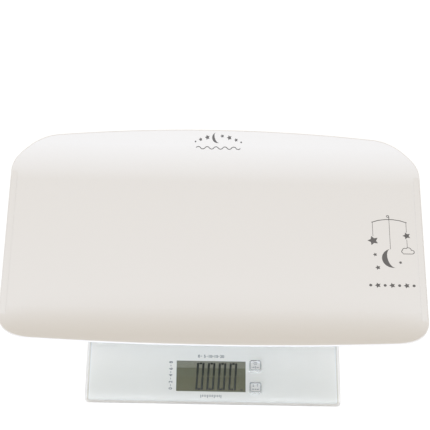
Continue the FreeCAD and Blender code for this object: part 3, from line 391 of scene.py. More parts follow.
# %% Plastics, rubbers and metals
FINISHES = {
    "tray_white": moulded(
        "tray_white", paint(239, 238, 236), 0.34, 0.000012,
        values={"Tone Drift": 0.012, "Drift Scale": 5.0, "Gloss Drift": 0.05, "Grain Scale": 700.0},
        Coat_Weight=0.15, Coat_Roughness=0.18),
    "base_plastic": moulded("base_plastic", paint(206, 207, 207), 0.55, 0.00006, dust=0.12,
                            values={"Grain Scale": 1400.0}),
    "cap_plastic": moulded("cap_plastic", paint(96, 98, 100), 0.5, 0.00005, dust=0.3,
                           values={"Grain Scale": 1400.0}),
    "pad_rubber": moulded("pad_rubber", paint(62, 62, 63), 0.75, 0.00008, dust=0.5,
                          values={"Tone Drift": 0.15, "Grain Scale": 1100.0}),
    "holder_black": moulded("holder_black", paint(34, 34, 36), 0.45, 0.00003),
    "zebra_rubber": moulded("zebra_rubber", paint(120, 120, 122), 0.7, 0.00004),
    "resin_black": moulded("resin_black", paint(28, 28, 29), 0.4, 0.00003),
    "plunger_white": moulded("plunger_white", paint(222, 219, 210), 0.5, 0.00002),
    "clip_nylon": moulded("clip_nylon", paint(214, 214, 208), 0.5, 0.00003,
                          Subsurface_Weight=0.1, Subsurface_Scale=0.002),
    "lead_jacket": moulded("lead_jacket", paint(52, 52, 54), 0.45, 0.00002, dust=0.15,
                           values={"Tone Drift": 0.08, "Drift Scale": 40.0}),
    "nickel": brushed("nickel", paint(214, 210, 200), 0.22, 0.000004),
    "cell_steel": brushed("cell_steel", paint(200, 200, 203), 0.35, 0.000008),
}
print("plain finishes:", ", ".join(FINISHES))

# %% [markdown]
# ## Glass, display and batteries
# The platform is clear tempered glass, painted silver-grey on its underside, and the two clear keys
# wear the same paint on their backs. In clear glass a lamp's light would have to find its way in by
# chance, so a shadow ray is let through instead, while the camera still sees the full refraction.
# The index is below that of window glass, because plain glass would mirror the white room too
# brightly over the dark display; a coated plate does not. The plate's rim is ground satin.
# Finger smears change only the gloss. The paint is a tone paler towards the tray, as painted light
# that cancels the tray's shade on the glass.
# The display is a dark olive film behind glass, darker at the front as painted shade against the
# brighter reflection there, and paler along the rear as a painted reflection. Each cell wears a
# printed sleeve with bare ends.

# %% Glass and display finishes
COATED_INDEX = 1.33
GROUND_RIM = 0.0026
GROUND_TONE = paint(247, 246, 246)
GROUND_ROUGHNESS = 0.6
GLASS_SHADOW = (0.94, 0.955, 0.945, 1)
# Width and blur of a paler strip along the rear of the display: a painted reflection.
REFLECTION_STRIP = 0.0121
REFLECTION_BLUR = 0.0004
BAND_SCALE = 120.0
# Between these two depths the back paint turns paler towards the tray: painted light that cancels
# the tray's shade on the glass.
PAINTED_LIFT_START = -0.178
PAINTED_LIFT_END = -0.112
# Between these two depths the display film turns from darker in front to lighter behind: painted
# shade against the brighter reflection in front.
DISPLAY_SHADE_START = -0.161
DISPLAY_SHADE_END = -0.151
SLEEVE_PALE_HALF = 0.0135
SLEEVE_HALF = 0.0208


def rim_mask(tree, depth):
    """1 within a depth of the glass plate's outline, and 0 further in."""
    low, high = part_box("glass_platform")
    split = tree.nodes.new("ShaderNodeSeparateXYZ")
    tree.links.new(object_place(tree), split.inputs[0])
    reach = []
    for axis, title in enumerate(("X", "Y")):
        middle = (low[axis] + high[axis]) / 2
        half = (high[axis] - low[axis]) / 2 - depth
        away = count(tree, "ABSOLUTE", count(tree, "SUBTRACT", split.outputs[title], middle))
        reach.append(count(tree, "SUBTRACT", away, half))
    return count(tree, "GREATER_THAN", count(tree, "MAXIMUM", *reach), 0.0)


def make_clear_finish(name, colour, edge=None, **plain):
    """Glass or acrylic. Where an edge is given, the rim is ground satin that far inwards."""
    material, shader = new_finish(name, Transmission_Weight=1.0, **plain)
    tree = material.node_tree
    surface = place_group(tree, MOULDED, {
        "Color": colour, "Tone Drift": 0.0, "Roughness": 0.015, "Gloss Drift": 0.03,
        "Drift Scale": 14.0})
    tone = surface["Color"]
    gloss = surface["Roughness"]
    if edge:
        rim = rim_mask(tree, edge)
        tone = blend_colours(tree, rim, tone, GROUND_TONE)
        gloss = count(tree, "MAXIMUM", gloss, count(tree, "MULTIPLY", rim, GROUND_ROUGHNESS))
    feed(tree, shader.inputs["Base Color"], tone)
    feed(tree, shader.inputs["Roughness"], gloss)
    clear = tree.nodes.new("ShaderNodeBsdfTransparent")
    clear.inputs["Color"].default_value = GLASS_SHADOW
    choice = tree.nodes.new("ShaderNodeMixShader")
    path = tree.nodes.new("ShaderNodeLightPath")
    tree.links.new(path.outputs["Is Shadow Ray"], choice.inputs["Fac"])
    tree.links.new(shader.outputs[0], choice.inputs[1])
    tree.links.new(clear.outputs[0], choice.inputs[2])
    tree.links.new(choice.outputs[0], tree.nodes["Material Output"].inputs["Surface"])
    return material


def fade_by_depth(tree, near, far):
    """0 at the near Y and 1 at the far one, with a soft change between them."""
    split = tree.nodes.new("ShaderNodeSeparateXYZ")
    tree.links.new(object_place(tree), split.inputs[0])
    fade = tree.nodes.new("ShaderNodeMapRange")
    fade.interpolation_type = "SMOOTHSTEP"
    feed(tree, fade.inputs["Value"], split.outputs["Y"])
    feed(tree, fade.inputs["From Min"], near)
    feed(tree, fade.inputs["From Max"], far)
    return fade.outputs["Result"]


def make_display_finish():
    """Olive film in cloudy bands, darker towards the front as painted shade against the brighter
    reflection there, with a paler strip at the rear as a painted reflection.
    """
    material, shader = new_finish("display_grey", Specular_IOR_Level=0.15)
    tree = material.node_tree
    # Painted shade: the film is darker towards the front, against the brighter reflection there.
    film = blend_colours(tree, fade_by_depth(tree, DISPLAY_SHADE_START, DISPLAY_SHADE_END),
                         paint(94, 91, 67), paint(105, 102, 82))
    surface = place_group(tree, MOULDED, {
        "Color": film, "Tone Drift": 0.12, "Drift Scale": 45.0, "Roughness": 0.35,
        "Grain Scale": 2400.0})
    bands = noise(tree, object_place(tree, (1, 0.02, 0.02)), BAND_SCALE, 2.0)
    banded = shade_by(tree, surface["Color"], bands, 0.16)
    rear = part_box("display_glass")[1][1]
    # Painted reflection: a paler strip along the rear of the display.
    strip = fade_by_depth(tree, rear - REFLECTION_STRIP - REFLECTION_BLUR, rear - REFLECTION_STRIP + REFLECTION_BLUR)
    whole = blend_colours(tree, strip, banded, paint(134, 129, 113))
    feed(tree, shader.inputs["Base Color"], whole)
    feed(tree, shader.inputs["Roughness"], surface["Roughness"])
    bump(tree, shader, surface["Height"], 0.000004)
    return material


def make_paint_with_painted_lift(name, near, far):
    """Paint on the back of the glass, a tone paler towards the tray: painted light that cancels the
    tray's shade on the glass.
    """
    material, shader = new_finish(name, Specular_IOR_Level=0.0)
    tree = material.node_tree
    # Painted light: the paint is paler towards the tray, in place of the tray's shade on the glass.
    tone = blend_colours(tree, fade_by_depth(tree, PAINTED_LIFT_START, PAINTED_LIFT_END), near, far)
    surface = place_group(tree, MOULDED, {
        "Color": tone, "Tone Drift": 0.02, "Drift Scale": 12.0, "Roughness": 0.5,
        "Grain Scale": 2600.0})
    feed(tree, shader.inputs["Base Color"], surface["Color"])
    feed(tree, shader.inputs["Roughness"], surface["Roughness"])
    bump(tree, shader, surface["Height"], 0.00001)
    return material


def make_cell_finish():
    """Grey sleeve with a dark band near each end, and bare metal past the sleeve."""
    material, shader = new_finish("cell_wrap", Coat_Weight=0.3, Coat_Roughness=0.1)
    tree = material.node_tree
    surface = place_group(tree, MOULDED, {"Color": paint(150, 156, 166), "Roughness": 0.3,
                                          "Tone Drift": 0.05, "Drift Scale": 60.0})
    split = tree.nodes.new("ShaderNodeSeparateXYZ")
    tree.links.new(object_place(tree), split.inputs[0])
    along = count(tree, "ABSOLUTE", split.outputs["X"])
    band = count(tree, "GREATER_THAN", along, SLEEVE_PALE_HALF)
    bare = count(tree, "GREATER_THAN", along, SLEEVE_HALF)
    sleeve = blend_colours(tree, band, surface["Color"], paint(58, 62, 70))
    whole = blend_colours(tree, bare, sleeve, paint(205, 203, 198))
    feed(tree, shader.inputs["Base Color"], whole)
    feed(tree, shader.inputs["Metallic"], bare)
    feed(tree, shader.inputs["Roughness"], surface["Roughness"])
    return material


def make_board_finish():
    """Green lacquer over copper: raised tracks between a grid of pads."""
    material, shader = new_finish("board_green", Coat_Weight=0.3, Coat_Roughness=0.2)
    tree = material.node_tree
    surface = place_group(tree, MOULDED, {"Color": paint(32, 98, 62), "Roughness": 0.35})
    tracks = tree.nodes.new("ShaderNodeTexBrick")
    tree.links.new(object_place(tree), tracks.inputs["Vector"])
    tracks.inputs["Scale"].default_value = 90.0
    tracks.inputs["Mortar Size"].default_value = 0.05
    tracks.inputs["Color1"].default_value = (1, 1, 1, 1)
    tracks.inputs["Color2"].default_value = (0.85, 0.85, 0.85, 1)
    tracks.inputs["Mortar"].default_value = (0, 0, 0, 1)
    lacquer = blend_colours(tree, tracks.outputs["Fac"], surface["Color"], paint(74, 140, 84))
    feed(tree, shader.inputs["Base Color"], lacquer)
    feed(tree, shader.inputs["Roughness"], surface["Roughness"])
    bump(tree, shader, tracks.outputs["Fac"], 0.00003)
    return material


FINISHES["silver_glass"] = make_clear_finish("silver_glass", paint(250, 253, 251), GROUND_RIM,
                                             IOR=COATED_INDEX)
FINISHES["key_silver"] = make_clear_finish("key_silver", paint(250, 251, 251), IOR=COATED_INDEX)
FINISHES["display_grey"] = make_display_finish()
FINISHES["cell_wrap"] = make_cell_finish()
FINISHES["board_green"] = make_board_finish()
# Each paint below is paler towards the tray, as painted light against the tray's shade.
BACK_PAINT_AND_PAINTED_LIGHT = make_paint_with_painted_lift("back_paint", paint(223, 218, 210), paint(248, 241, 232))
# The darker band is painted shade and the pale line a painted highlight along the glass edge.
BORDER_PAINTED_SHADE = make_paint_with_painted_lift("border_painted_shade", paint(204, 196, 184), paint(230, 223, 212))
BORDER_PAINTED_HIGHLIGHT = make_paint_with_painted_lift("border_painted_highlight", paint(228, 227, 223), paint(241, 240, 237))
SCREW_STEEL = brushed("screw_steel", paint(196, 197, 200), 0.32, 0.000006,
                      values={"Streak Scale": 200.0})
PRINT_GREY = moulded("print_grey", paint(104, 102, 101), 0.5, 0.000008,
                     values={"Tone Drift": 0.06, "Drift Scale": 90.0})
MARK_GREY = moulded("mark_grey", paint(112, 112, 112), 0.5, 0.000008,
                    values={"Tone Drift": 0.06, "Drift Scale": 90.0}, Specular_IOR_Level=0.0)
SEGMENT_DARK = moulded("segment_dark", paint(34, 34, 32), 0.4, 0.000004,
                       values={"Tone Drift": 0.08, "Drift Scale": 80.0}, Specular_IOR_Level=0.1)
print("finishes in all:", len(bpy.data.materials))

# %% [markdown]
# ## Dress the frame
# The record says which slot each solid piece takes its finish from, so one loop dresses them all.
# The solids are not touched: only the material in each object's slot changes.

# %% Finishes on the solids
for part in frame["record"]["subparts"]:
    solid = nodes[part["node"]]
    solid.data.materials.clear()
    solid.data.materials.append(FINISHES[part["material_slot"]])

# %% [markdown]
# ## Thin pieces
# Paint, prints and display segments are films a few hundredths of a millimetre thick. Each one is
# drawn flat, in millimetres, by a pen: a short edge as wide as the line, extruded along straight
# runs and spun round bends. The flat drawing is then given its thickness and carried to its place.

# %% Pen and shapes
MM = 0.001
FILM = 0.04
TOUCHING = 1e-4
ARC_STEP = 10
BOLDER = 0.02


def pen(mesh, start, heading, width, moves):
    """Draw ("go", length), ("turn", radius, degrees) with left positive, or ("face", degrees)."""
    place = Vector((start[0], start[1], 0))
    turned = Matrix.Rotation(math.radians(heading), 3, "Z")
    edge = None
    for kind, *values in moves:
        ahead = turned @ Vector((1, 0, 0))
        left = turned @ Vector((0, 1, 0))
        if kind == "face":
            turned = Matrix.Rotation(math.radians(values[0]), 3, "Z") @ turned
            edge = None
            continue
        if edge is None:
            ends = [mesh.verts.new(place + left * width * side) for side in (0.5, -0.5)]
            edge = mesh.edges.new(ends)
        if kind == "go":
            made = bmesh.ops.extrude_edge_only(mesh, edges=[edge])["geom"]
            tips = [item for item in made if isinstance(item, bmesh.types.BMVert)]
            bmesh.ops.translate(mesh, verts=tips, vec=ahead * values[0])
            edge = [item for item in made if isinstance(item, bmesh.types.BMEdge)
                    and all(tip in tips for tip in item.verts)][0]
            place = place + ahead * values[0]
            continue
        radius, degrees = values
        centre = place + left * math.copysign(radius, degrees)
        angle = math.radians(degrees)
        spun = bmesh.ops.spin(mesh, geom=[*edge.verts, edge], cent=centre, axis=(0, 0, 1),
                              angle=angle, steps=max(2, round(abs(degrees) / ARC_STEP)))
        edge = [item for item in spun["geom_last"] if isinstance(item, bmesh.types.BMEdge)][0]
        arc = Matrix.Rotation(angle, 3, "Z")
        place = centre + arc @ (place - centre)
        turned = arc @ turned
        drawn = (edge.verts[0].co + edge.verts[1].co) / 2
        if (drawn - place).length > TOUCHING:
            raise ValueError("the pen and its edge have parted")
    return place


def dot(mesh, x, y, radius):
    bmesh.ops.create_circle(mesh, cap_ends=True, segments=24, radius=radius,
                            matrix=Matrix.Translation((x, y, 0)))


def star(mesh, x, y, radius):
    """Five points: every second corner of a ten-sided disc is drawn in."""
    turned = Matrix.Translation((x, y, 0)) @ Matrix.Rotation(math.radians(90), 4, "Z")
    corners = bmesh.ops.create_circle(mesh, cap_ends=True, segments=10, radius=radius,
                                      matrix=turned)["verts"]
    bmesh.ops.scale(mesh, verts=corners[1::2], vec=(0.5, 0.5, 1),
                    space=Matrix.Translation((-x, -y, 0)))
    bmesh.ops.bevel(mesh, geom=corners, offset=radius * 0.09, affect="VERTICES", segments=3,
                    profile=0.5, material=-1)


def crescent(mesh, x, y, radius, tilt):
    """A disc whose one half is folded back into the other."""
    rim = bmesh.ops.create_circle(mesh, cap_ends=True, segments=56, radius=radius)["verts"]
    folded = [corner for corner in rim if corner.co.x > TOUCHING]
    bmesh.ops.scale(mesh, verts=folded, vec=(-0.5, 1, 1))
    carried = Matrix.Translation((x, y, 0)) @ Matrix.Rotation(math.radians(tilt), 4, "Z")
    bmesh.ops.transform(mesh, matrix=carried, verts=rim)


def rounded_face(mesh, x, y, width, depth, radius):
    """A rectangle with rounded corners, as one face."""
    corners = bmesh.ops.create_grid(mesh, x_segments=1, y_segments=1, size=0.5)["verts"]
    bmesh.ops.scale(mesh, verts=corners, vec=(width, depth, 1))
    bmesh.ops.translate(mesh, verts=corners, vec=(x, y, 0))
    bevelled = bmesh.ops.bevel(mesh, geom=corners, offset=radius, affect="VERTICES", segments=6,
                               profile=0.5, material=-1)
    faces = [corner.link_faces[0] for corner in bevelled["verts"]]
    return max(faces, key=lambda face: face.calc_area())


def frame_line(mesh, x, y, width, depth, radius, line):
    """The outline of a rounded rectangle, drawn inside its edge."""
    face = rounded_face(mesh, x, y, width, depth, radius)
    bmesh.ops.inset_region(mesh, faces=[face], thickness=line, use_boundary=True,
                           use_even_offset=True)
    bmesh.ops.delete(mesh, geom=[face], context="FACES_ONLY")


def figures(mesh, text, height, x, y, turn=0):
    """Plain figures of one height, centred on a point."""
    curve = bpy.data.curves.new("figures", "FONT")
    curve.body = text
    curve.offset = BOLDER
    writer = bpy.data.objects.new("figures", curve)
    letters = bpy.data.meshes.new_from_object(writer)
    drawn = bmesh.new()
    drawn.from_mesh(letters)
    low = Vector([min(corner.co[axis] for corner in drawn.verts) for axis in range(3)])
    high = Vector([max(corner.co[axis] for corner in drawn.verts) for axis in range(3)])
    grow = height / (high.y - low.y)
    carried = (Matrix.Translation((x, y, 0)) @ Matrix.Rotation(math.radians(turn), 4, "Z")
               @ Matrix.Scale(grow, 4) @ Matrix.Translation(-(low + high) / 2))
    bmesh.ops.transform(drawn, matrix=carried, verts=drawn.verts)
    drawn.to_mesh(letters)
    drawn.free()
    mesh.from_mesh(letters)
    bpy.data.meshes.remove(letters)
    bpy.data.objects.remove(writer)
    bpy.data.curves.remove(curve)


def raise_film(mesh):
    """Give a flat drawing the thickness of a film."""
    bmesh.ops.remove_doubles(mesh, verts=mesh.verts, dist=TOUCHING)
    raised = bmesh.ops.extrude_face_region(mesh, geom=mesh.faces[:], use_keep_orig=True)["geom"]
    upper = [item for item in raised if isinstance(item, bmesh.types.BMVert)]
    bmesh.ops.translate(mesh, verts=upper, vec=(0, 0, FILM))


def finish_piece(name, mesh, body, material, carried):
    """Name a drawing and carry it to its place in metres. A flat one gets its thickness first."""
    if not any(corner.co.z for corner in mesh.verts):
        raise_film(mesh)
    bmesh.ops.transform(mesh, matrix=carried @ Matrix.Scale(MM, 4), verts=mesh.verts)
    bmesh.ops.recalc_face_normals(mesh, faces=mesh.faces)
    data = bpy.data.meshes.new(name)
    mesh.to_mesh(data)
    mesh.free()
    piece = bpy.data.objects.new(name, data)
    scene.collection.objects.link(piece)
    data.materials.append(material)
    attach(piece, body)
    print(f"{name}: {len(data.polygons)} faces on {body}")


# %% [markdown]
# ## Paint under the glass
# The silver-grey of the platform is a coat of paint on the back of the glass. It has an opening
# for the display and one for each key. The openings and the outer edge are closed loops, and
# filling between the loops gives a sheet with holes. The sheet lies a hair inside the glass, so
# that nothing that touches the glass from below can show through it. A pale line, a painted
# highlight along the glass edge, and a darker band, painted shade in place of the shaded floor
# seen through the clear edge, frame the sheet, and a patch of the same paint closes the back of
# each key.

# %% Back paint
PAINT_LIFT = 0.02
EDGE_ROUND = 2.4
BORDER = 5.4
BORDER_LINE = 0.9
SHEET_CORNER = 1.0
WINDOW_LOW_GAP = Vector((0.5, 0.4, 0))
WINDOW_HIGH_GAP = Vector((1.8, 2.4, 0))
WINDOW_CORNER = 0.4
KEY_SIZE = 14.6
KEY_PAINT_GAP = 0.05
KEY_PAINT_CORNER = 2.35
KEY_HOLE = 15.2
KEY_HOLE_CORNER = 2.7

glass_low, glass_high = [Vector(corner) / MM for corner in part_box("glass_platform")]
display_low, display_high = [Vector(corner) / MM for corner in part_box("display_glass")]
key_boxes = {name: [Vector(corner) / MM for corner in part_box(name)]
             for name in ("unit_key", "tare_key")}
window_low = display_low + WINDOW_LOW_GAP
window_high = display_high - WINDOW_HIGH_GAP
window_middle = (window_low + window_high) / 2
window_size = window_high - window_low
glass_middle = (glass_low + glass_high) / 2
glass_size = glass_high - glass_low
PAINT_PLACE = Matrix.Translation((0, 0, (glass_low.z + PAINT_LIFT) * MM))


def make_back_paint():
    """The sheet, filled between its outer edge, the window and the key holes."""
    mesh = bmesh.new()
    loops = [(glass_middle.x, glass_middle.y,
              glass_size.x - 2 * BORDER, glass_size.y - 2 * BORDER, SHEET_CORNER),
             (window_middle.x, window_middle.y, window_size.x, window_size.y, WINDOW_CORNER)]
    for low, high in key_boxes.values():
        middle = (low + high) / 2
        loops.append((middle.x, middle.y, KEY_HOLE, KEY_HOLE, KEY_HOLE_CORNER))
    for x, y, width, depth, radius in loops:
        face = rounded_face(mesh, x, y, width, depth, radius)
        bmesh.ops.delete(mesh, geom=[face], context="FACES_ONLY")
    bmesh.ops.triangle_fill(mesh, edges=mesh.edges[:], use_beauty=True, normal=(0, 0, 1))
    finish_piece("back_paint", mesh, "platform", BACK_PAINT_AND_PAINTED_LIGHT, PAINT_PLACE)


def make_border(name, material, inset, line):
    """A ring of paint beside the sheet, as far inside the edge as its inset says."""
    mesh = bmesh.new()
    frame_line(mesh, glass_middle.x, glass_middle.y, glass_size.x - 2 * inset,
               glass_size.y - 2 * inset, SHEET_CORNER + BORDER - inset, line)
    finish_piece(name, mesh, "platform", material, PAINT_PLACE)


def make_key_paint(name):
    """The same paint on the back of a clear key, level with the sheet round it."""
    low, high = key_boxes[name]
    middle = (low + high) / 2
    side = KEY_SIZE - 2 * KEY_PAINT_GAP
    mesh = bmesh.new()
    rounded_face(mesh, middle.x, middle.y, side, side, KEY_PAINT_CORNER)
    finish_piece(f"{name}_paint", mesh, name, BACK_PAINT_AND_PAINTED_LIGHT, PAINT_PLACE)


make_back_paint()
for key in key_boxes:
    make_key_paint(key)
# Pale ring: painted highlight along the edge. Grey ring: painted shade of the floor under the clear
# edge.
make_border("border_highlight_line", BORDER_PAINTED_HIGHLIGHT, BORDER - BORDER_LINE, BORDER_LINE)
make_border("border_shade_band", BORDER_PAINTED_SHADE, EDGE_ROUND, BORDER - BORDER_LINE - EDGE_ROUND)

# %% [markdown]
# ## Marks under the glass
# Small grey figures and ticks surround the window: a row of round numbers above it, a short
# ruler below it and a taller column of numbers at its left. They are printed before the paint, so
# they lie on top of it as seen from above. Sizes and gaps are in millimetres.

# %% Printed marks
ROW_TEXTS = ("0", "5", "10", "15", "20")
ROW_HEIGHT = 4.0
ROW_GAP = 6.8
ROW_START = -18.1
ROW_PITCH = 7.3
ROW_DASH_START = -23.0
ROW_DASH = 1.6
ROW_LINE = 0.6
RULER_TICKS = 13
RULER_START = -15.1
RULER_PITCH = 2.1
RULER_GAP = 4.6
RULER_LONG = 4.4
RULER_SHORT = 3.0
RULER_LINE = 0.8
COLUMN_TEXTS = ("0", "2", "4", "6", "8")
COLUMN_HEIGHT = 4.4
COLUMN_GAP = 7.2
COLUMN_START = -18.2
COLUMN_PITCH = 9.3
COLUMN_DASH_START = -24.0
COLUMN_DASH = 2.2
COLUMN_LINE = 0.7


def make_glass_marks():
    mesh = bmesh.new()
    row = window_middle.y + window_size.y / 2 + ROW_GAP
    for number, text in enumerate(ROW_TEXTS):
        figures(mesh, text, ROW_HEIGHT, ROW_START + ROW_PITCH * number, row)
        if number:
            dash = (ROW_DASH_START + ROW_PITCH * number, row)
            pen(mesh, dash, 0, ROW_LINE, [("go", ROW_DASH)])
    ruler = window_middle.y - window_size.y / 2 - RULER_GAP
    for number in range(RULER_TICKS):
        tall = RULER_SHORT if number % 4 else RULER_LONG
        pen(mesh, (RULER_START + RULER_PITCH * number, ruler), 270, RULER_LINE, [("go", tall)])
    column = window_middle.x - window_size.x / 2 - COLUMN_GAP
    for number, text in enumerate(COLUMN_TEXTS):
        up = window_middle.y + COLUMN_PITCH * number
        figures(mesh, text, COLUMN_HEIGHT, column, up + COLUMN_START, 90)
        if number:
            pen(mesh, (column, up + COLUMN_DASH_START), 90, COLUMN_LINE, [("go", COLUMN_DASH)])
    place = Matrix.Translation((0, 0, (glass_low.z + PAINT_LIFT + FILM) * MM))
    finish_piece("glass_marks", mesh, "platform", MARK_GREY, place)


make_glass_marks()

# %% [markdown]
# ## Digits of the display
# The display has four tall, narrow, slanted digits, each with seven bars. At rest all four show
# nought, so the middle bars are off. A bar is a rectangle with its corners cut, and the whole
# row is sheared to lean it. A short bar low at the right is the only sign that is on.

# %% Display digits
DIGIT_WIDTH = 9.6
DIGIT_HEIGHT = 39.0
DIGIT_PITCH = 13.8
DIGIT_START = -16.6
DIGIT_COUNT = 4
BAR = 2.7
BAR_GAP = 0.8
BAR_CUT = 0.3
END_GAP = 0.4
LEAN = 0.05
SIGN_SIZE = (3.2, 1.8)
SIGN_FROM_SIDE = 5.2
SIGN_RISE = 1.1


def bar(mesh, x, y, width, height):
    """A rectangle with its corners cut."""
    corners = bmesh.ops.create_grid(mesh, x_segments=1, y_segments=1, size=0.5)["verts"]
    bmesh.ops.scale(mesh, verts=corners, vec=(width, height, 1))
    bmesh.ops.translate(mesh, verts=corners, vec=(x, y, 0))
    bmesh.ops.bevel(mesh, geom=corners, offset=min(width, height) * BAR_CUT, affect="VERTICES",
                    segments=1, profile=0.5, material=-1)


def make_digits():
    mesh = bmesh.new()
    side = DIGIT_WIDTH / 2 - BAR / 2
    long = DIGIT_HEIGHT / 2 - BAR_GAP
    for number in range(DIGIT_COUNT):
        x = DIGIT_START + DIGIT_PITCH * number
        for across in (-side, side):
            for up in (-1, 1):
                bar(mesh, x + across, window_middle.y + up * (long / 2 + BAR_GAP / 2), BAR, long)
        for up in (-1, 1):
            height = window_middle.y + up * (DIGIT_HEIGHT / 2 - BAR / 2)
            bar(mesh, x, height, DIGIT_WIDTH - 2 * BAR - END_GAP, BAR)
    lean = Matrix.Identity(4)
    lean[0][1] = LEAN
    about = Matrix.Translation((0, window_middle.y, 0))
    bmesh.ops.transform(mesh, matrix=about @ lean @ about.inverted(), verts=mesh.verts)
    bar(mesh, window_middle.x + window_size.x / 2 - SIGN_FROM_SIDE,
        window_middle.y - DIGIT_HEIGHT / 2 + SIGN_RISE, *SIGN_SIZE)
    place = Matrix.Translation((0, 0, display_high.z * MM))
    finish_piece("display_digits", mesh, "platform", SEGMENT_DARK, place)


make_digits()

# %% [markdown]
# ## Marks on the keys
# Each key has a thin grey frame with plain signs inside it: a standby sign and a nought between
# two arrows on the rear key, and a pair of arrows over three short bars on the front one.

# %% Key marks
KEY_FRAME_INSET = 0.5
KEY_FRAME_CORNER = 2.2
KEY_FRAME_LINE = 0.55
SIGN_LINE = 0.45
ARROW_LINE = 0.4
BARB_ANGLE = 38
BARB_SHARE = 0.42


def arrow(mesh, x, y, heading, length, width=ARROW_LINE):
    """A shaft with two barbs at its tip, which is half a length ahead of the middle."""
    way = Matrix.Rotation(math.radians(heading), 3, "Z") @ Vector((1, 0, 0))
    tail = Vector((x, y, 0)) - way * length / 2
    tip = pen(mesh, tail, heading, width, [("go", length)])
    for side in (-1, 1):
        pen(mesh, tip, heading + 180 + side * BARB_ANGLE, width, [("go", length * BARB_SHARE)])


def make_key_marks(name, draw):
    """A frame and the signs that draw adds, on top of a key."""
    low, high = key_boxes[name]
    middle = (low + high) / 2
    side = KEY_SIZE - 2 * KEY_FRAME_INSET
    mesh = bmesh.new()
    frame_line(mesh, 0, 0, side, side, KEY_FRAME_CORNER, KEY_FRAME_LINE)
    draw(mesh)
    place = Matrix.Translation((middle.x * MM, middle.y * MM, high.z * MM))
    finish_piece(f"{name}_marks", mesh, name, PRINT_GREY, place)


def draw_tare_signs(mesh):
    pen(mesh, (1.15, 4.1), -40, SIGN_LINE, [("turn", 1.9, -290)])
    pen(mesh, (0, 4.6), 270, SIGN_LINE, [("go", 2.3)])
    figures(mesh, "0", 3.0, 0, -3.0)
    arrow(mesh, -3.4, -3.0, 0, 2.8)
    arrow(mesh, 3.4, -3.0, 180, 2.8)


def draw_unit_signs(mesh):
    arrow(mesh, -2.6, 2.2, 270, 3.6)
    arrow(mesh, 2.6, 2.2, 90, 3.6)
    for x in (-3.0, 0.0, 3.0):
        pen(mesh, (x - 1.1, -3.0), 0, 1.1, [("go", 2.2)])


make_key_marks("tare_key", draw_tare_signs)
make_key_marks("unit_key", draw_unit_signs)

# %% [markdown]
# ## Screws
# Pan-head screws with a cross recess hold the bottom cover and the circuit board. A head starts
# from a small grid: its middle cross is pushed in as the recess, and its outer edge is drawn out to
# a circle and then down round the head and the shank.

# %% Screws
HEAD_RADIUS = 2.2
HEAD_HEIGHT = 1.6
HEAD_DOME = 0.4
SHANK_RADIUS = 1.05
RECESS_CELL = 0.5
RECESS_CELLS = 5
RECESS_DEPTH = 0.9
CROWN_RADIUS = 0.8 * HEAD_RADIUS
CROWN_DROP = 0.3 * HEAD_DOME
FIRST_TURN = 17
NEXT_TURN = 31


def draw_out(mesh, edges, down=0.0, radius=None):
    """Extrude a closed edge loop, down or to a circle, and return the new loop."""
    made = bmesh.ops.extrude_edge_only(mesh, edges=edges)["geom"]
    tips = [item for item in made if isinstance(item, bmesh.types.BMVert)]
    for tip in tips:
        if radius:
            tip.co.xy = tip.co.xy.normalized() * radius
        tip.co.z -= down
    return [item for item in made if isinstance(item, bmesh.types.BMEdge)
            and all(tip in tips for tip in item.verts)]


def screw(mesh, shank, carried):
    """One screw, drawn with its head above nought and its shank below, and carried."""
    before = set(mesh.verts)
    grid = bmesh.ops.create_grid(mesh, x_segments=RECESS_CELLS, y_segments=RECESS_CELLS,
                                 size=RECESS_CELLS * RECESS_CELL / 2,
                                 matrix=Matrix.Translation((0, 0, HEAD_HEIGHT)))["verts"]
    cells = {face for corner in grid for face in corner.link_faces}
    edges = {edge for corner in grid for edge in corner.link_edges if edge.is_boundary}
    cross = []
    for cell in cells:
        away = sorted(abs(reach) / RECESS_CELL for reach in cell.calc_center_median().xy)
        if away[0] < 0.5 and away[1] < 1.5:
            cross.append(cell)
    pushed = bmesh.ops.extrude_face_region(mesh, geom=cross)["geom"]
    floor = [item for item in pushed if isinstance(item, bmesh.types.BMVert)]
    bmesh.ops.translate(mesh, verts=floor, vec=(0, 0, -RECESS_DEPTH))
    loop = draw_out(mesh, list(edges), CROWN_DROP, CROWN_RADIUS)
    loop = draw_out(mesh, loop, HEAD_DOME - CROWN_DROP, HEAD_RADIUS)
    loop = draw_out(mesh, loop, HEAD_HEIGHT - HEAD_DOME)
    loop = draw_out(mesh, loop, 0, SHANK_RADIUS)
    loop = draw_out(mesh, loop, shank)
    bmesh.ops.contextual_create(mesh, geom=loop)
    made = [corner for corner in mesh.verts if corner not in before]
    bmesh.ops.transform(mesh, matrix=carried, verts=made)


def make_screws(name, places, seat, shank, flipped):
    """Equal screws at a list of places, each with its recess turned another way."""
    mesh = bmesh.new()
    turn = Matrix.Rotation(math.radians(180 if flipped else 0), 4, "X")
    for number, (x, y) in enumerate(places):
        spin = Matrix.Rotation(math.radians(FIRST_TURN + NEXT_TURN * number), 4, "Z")
        screw(mesh, shank, Matrix.Translation((x, y, seat)) @ turn @ spin)
    finish_piece(name, mesh, "platform", SCREW_STEEL, Matrix.Identity(4))


COVER_SCREWS = [(x, y) for x in (-58.8, 74.8) for y in (-180.3, -100.7)]
BOARD_SCREWS = [(x, y) for x in (-51.0, 67.0) for y in (-176.5, -121.5)]
COVER_SEAT = 6.8
COVER_SHANK = 8.0
BOARD_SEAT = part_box("circuit_board")[1][2] / MM
BOARD_SHANK = 4.4

make_screws("cover_screws", COVER_SCREWS, COVER_SEAT, COVER_SHANK, True)
make_screws("board_screws", BOARD_SCREWS, BOARD_SEAT, BOARD_SHANK, False)

# %% [markdown]
# ## Arrow on the battery door
# A thin grey arrow shows which way the door slides. It lies on the flat face in front of the finger
# grooves, and is drawn face down, because the door is part of the underside.

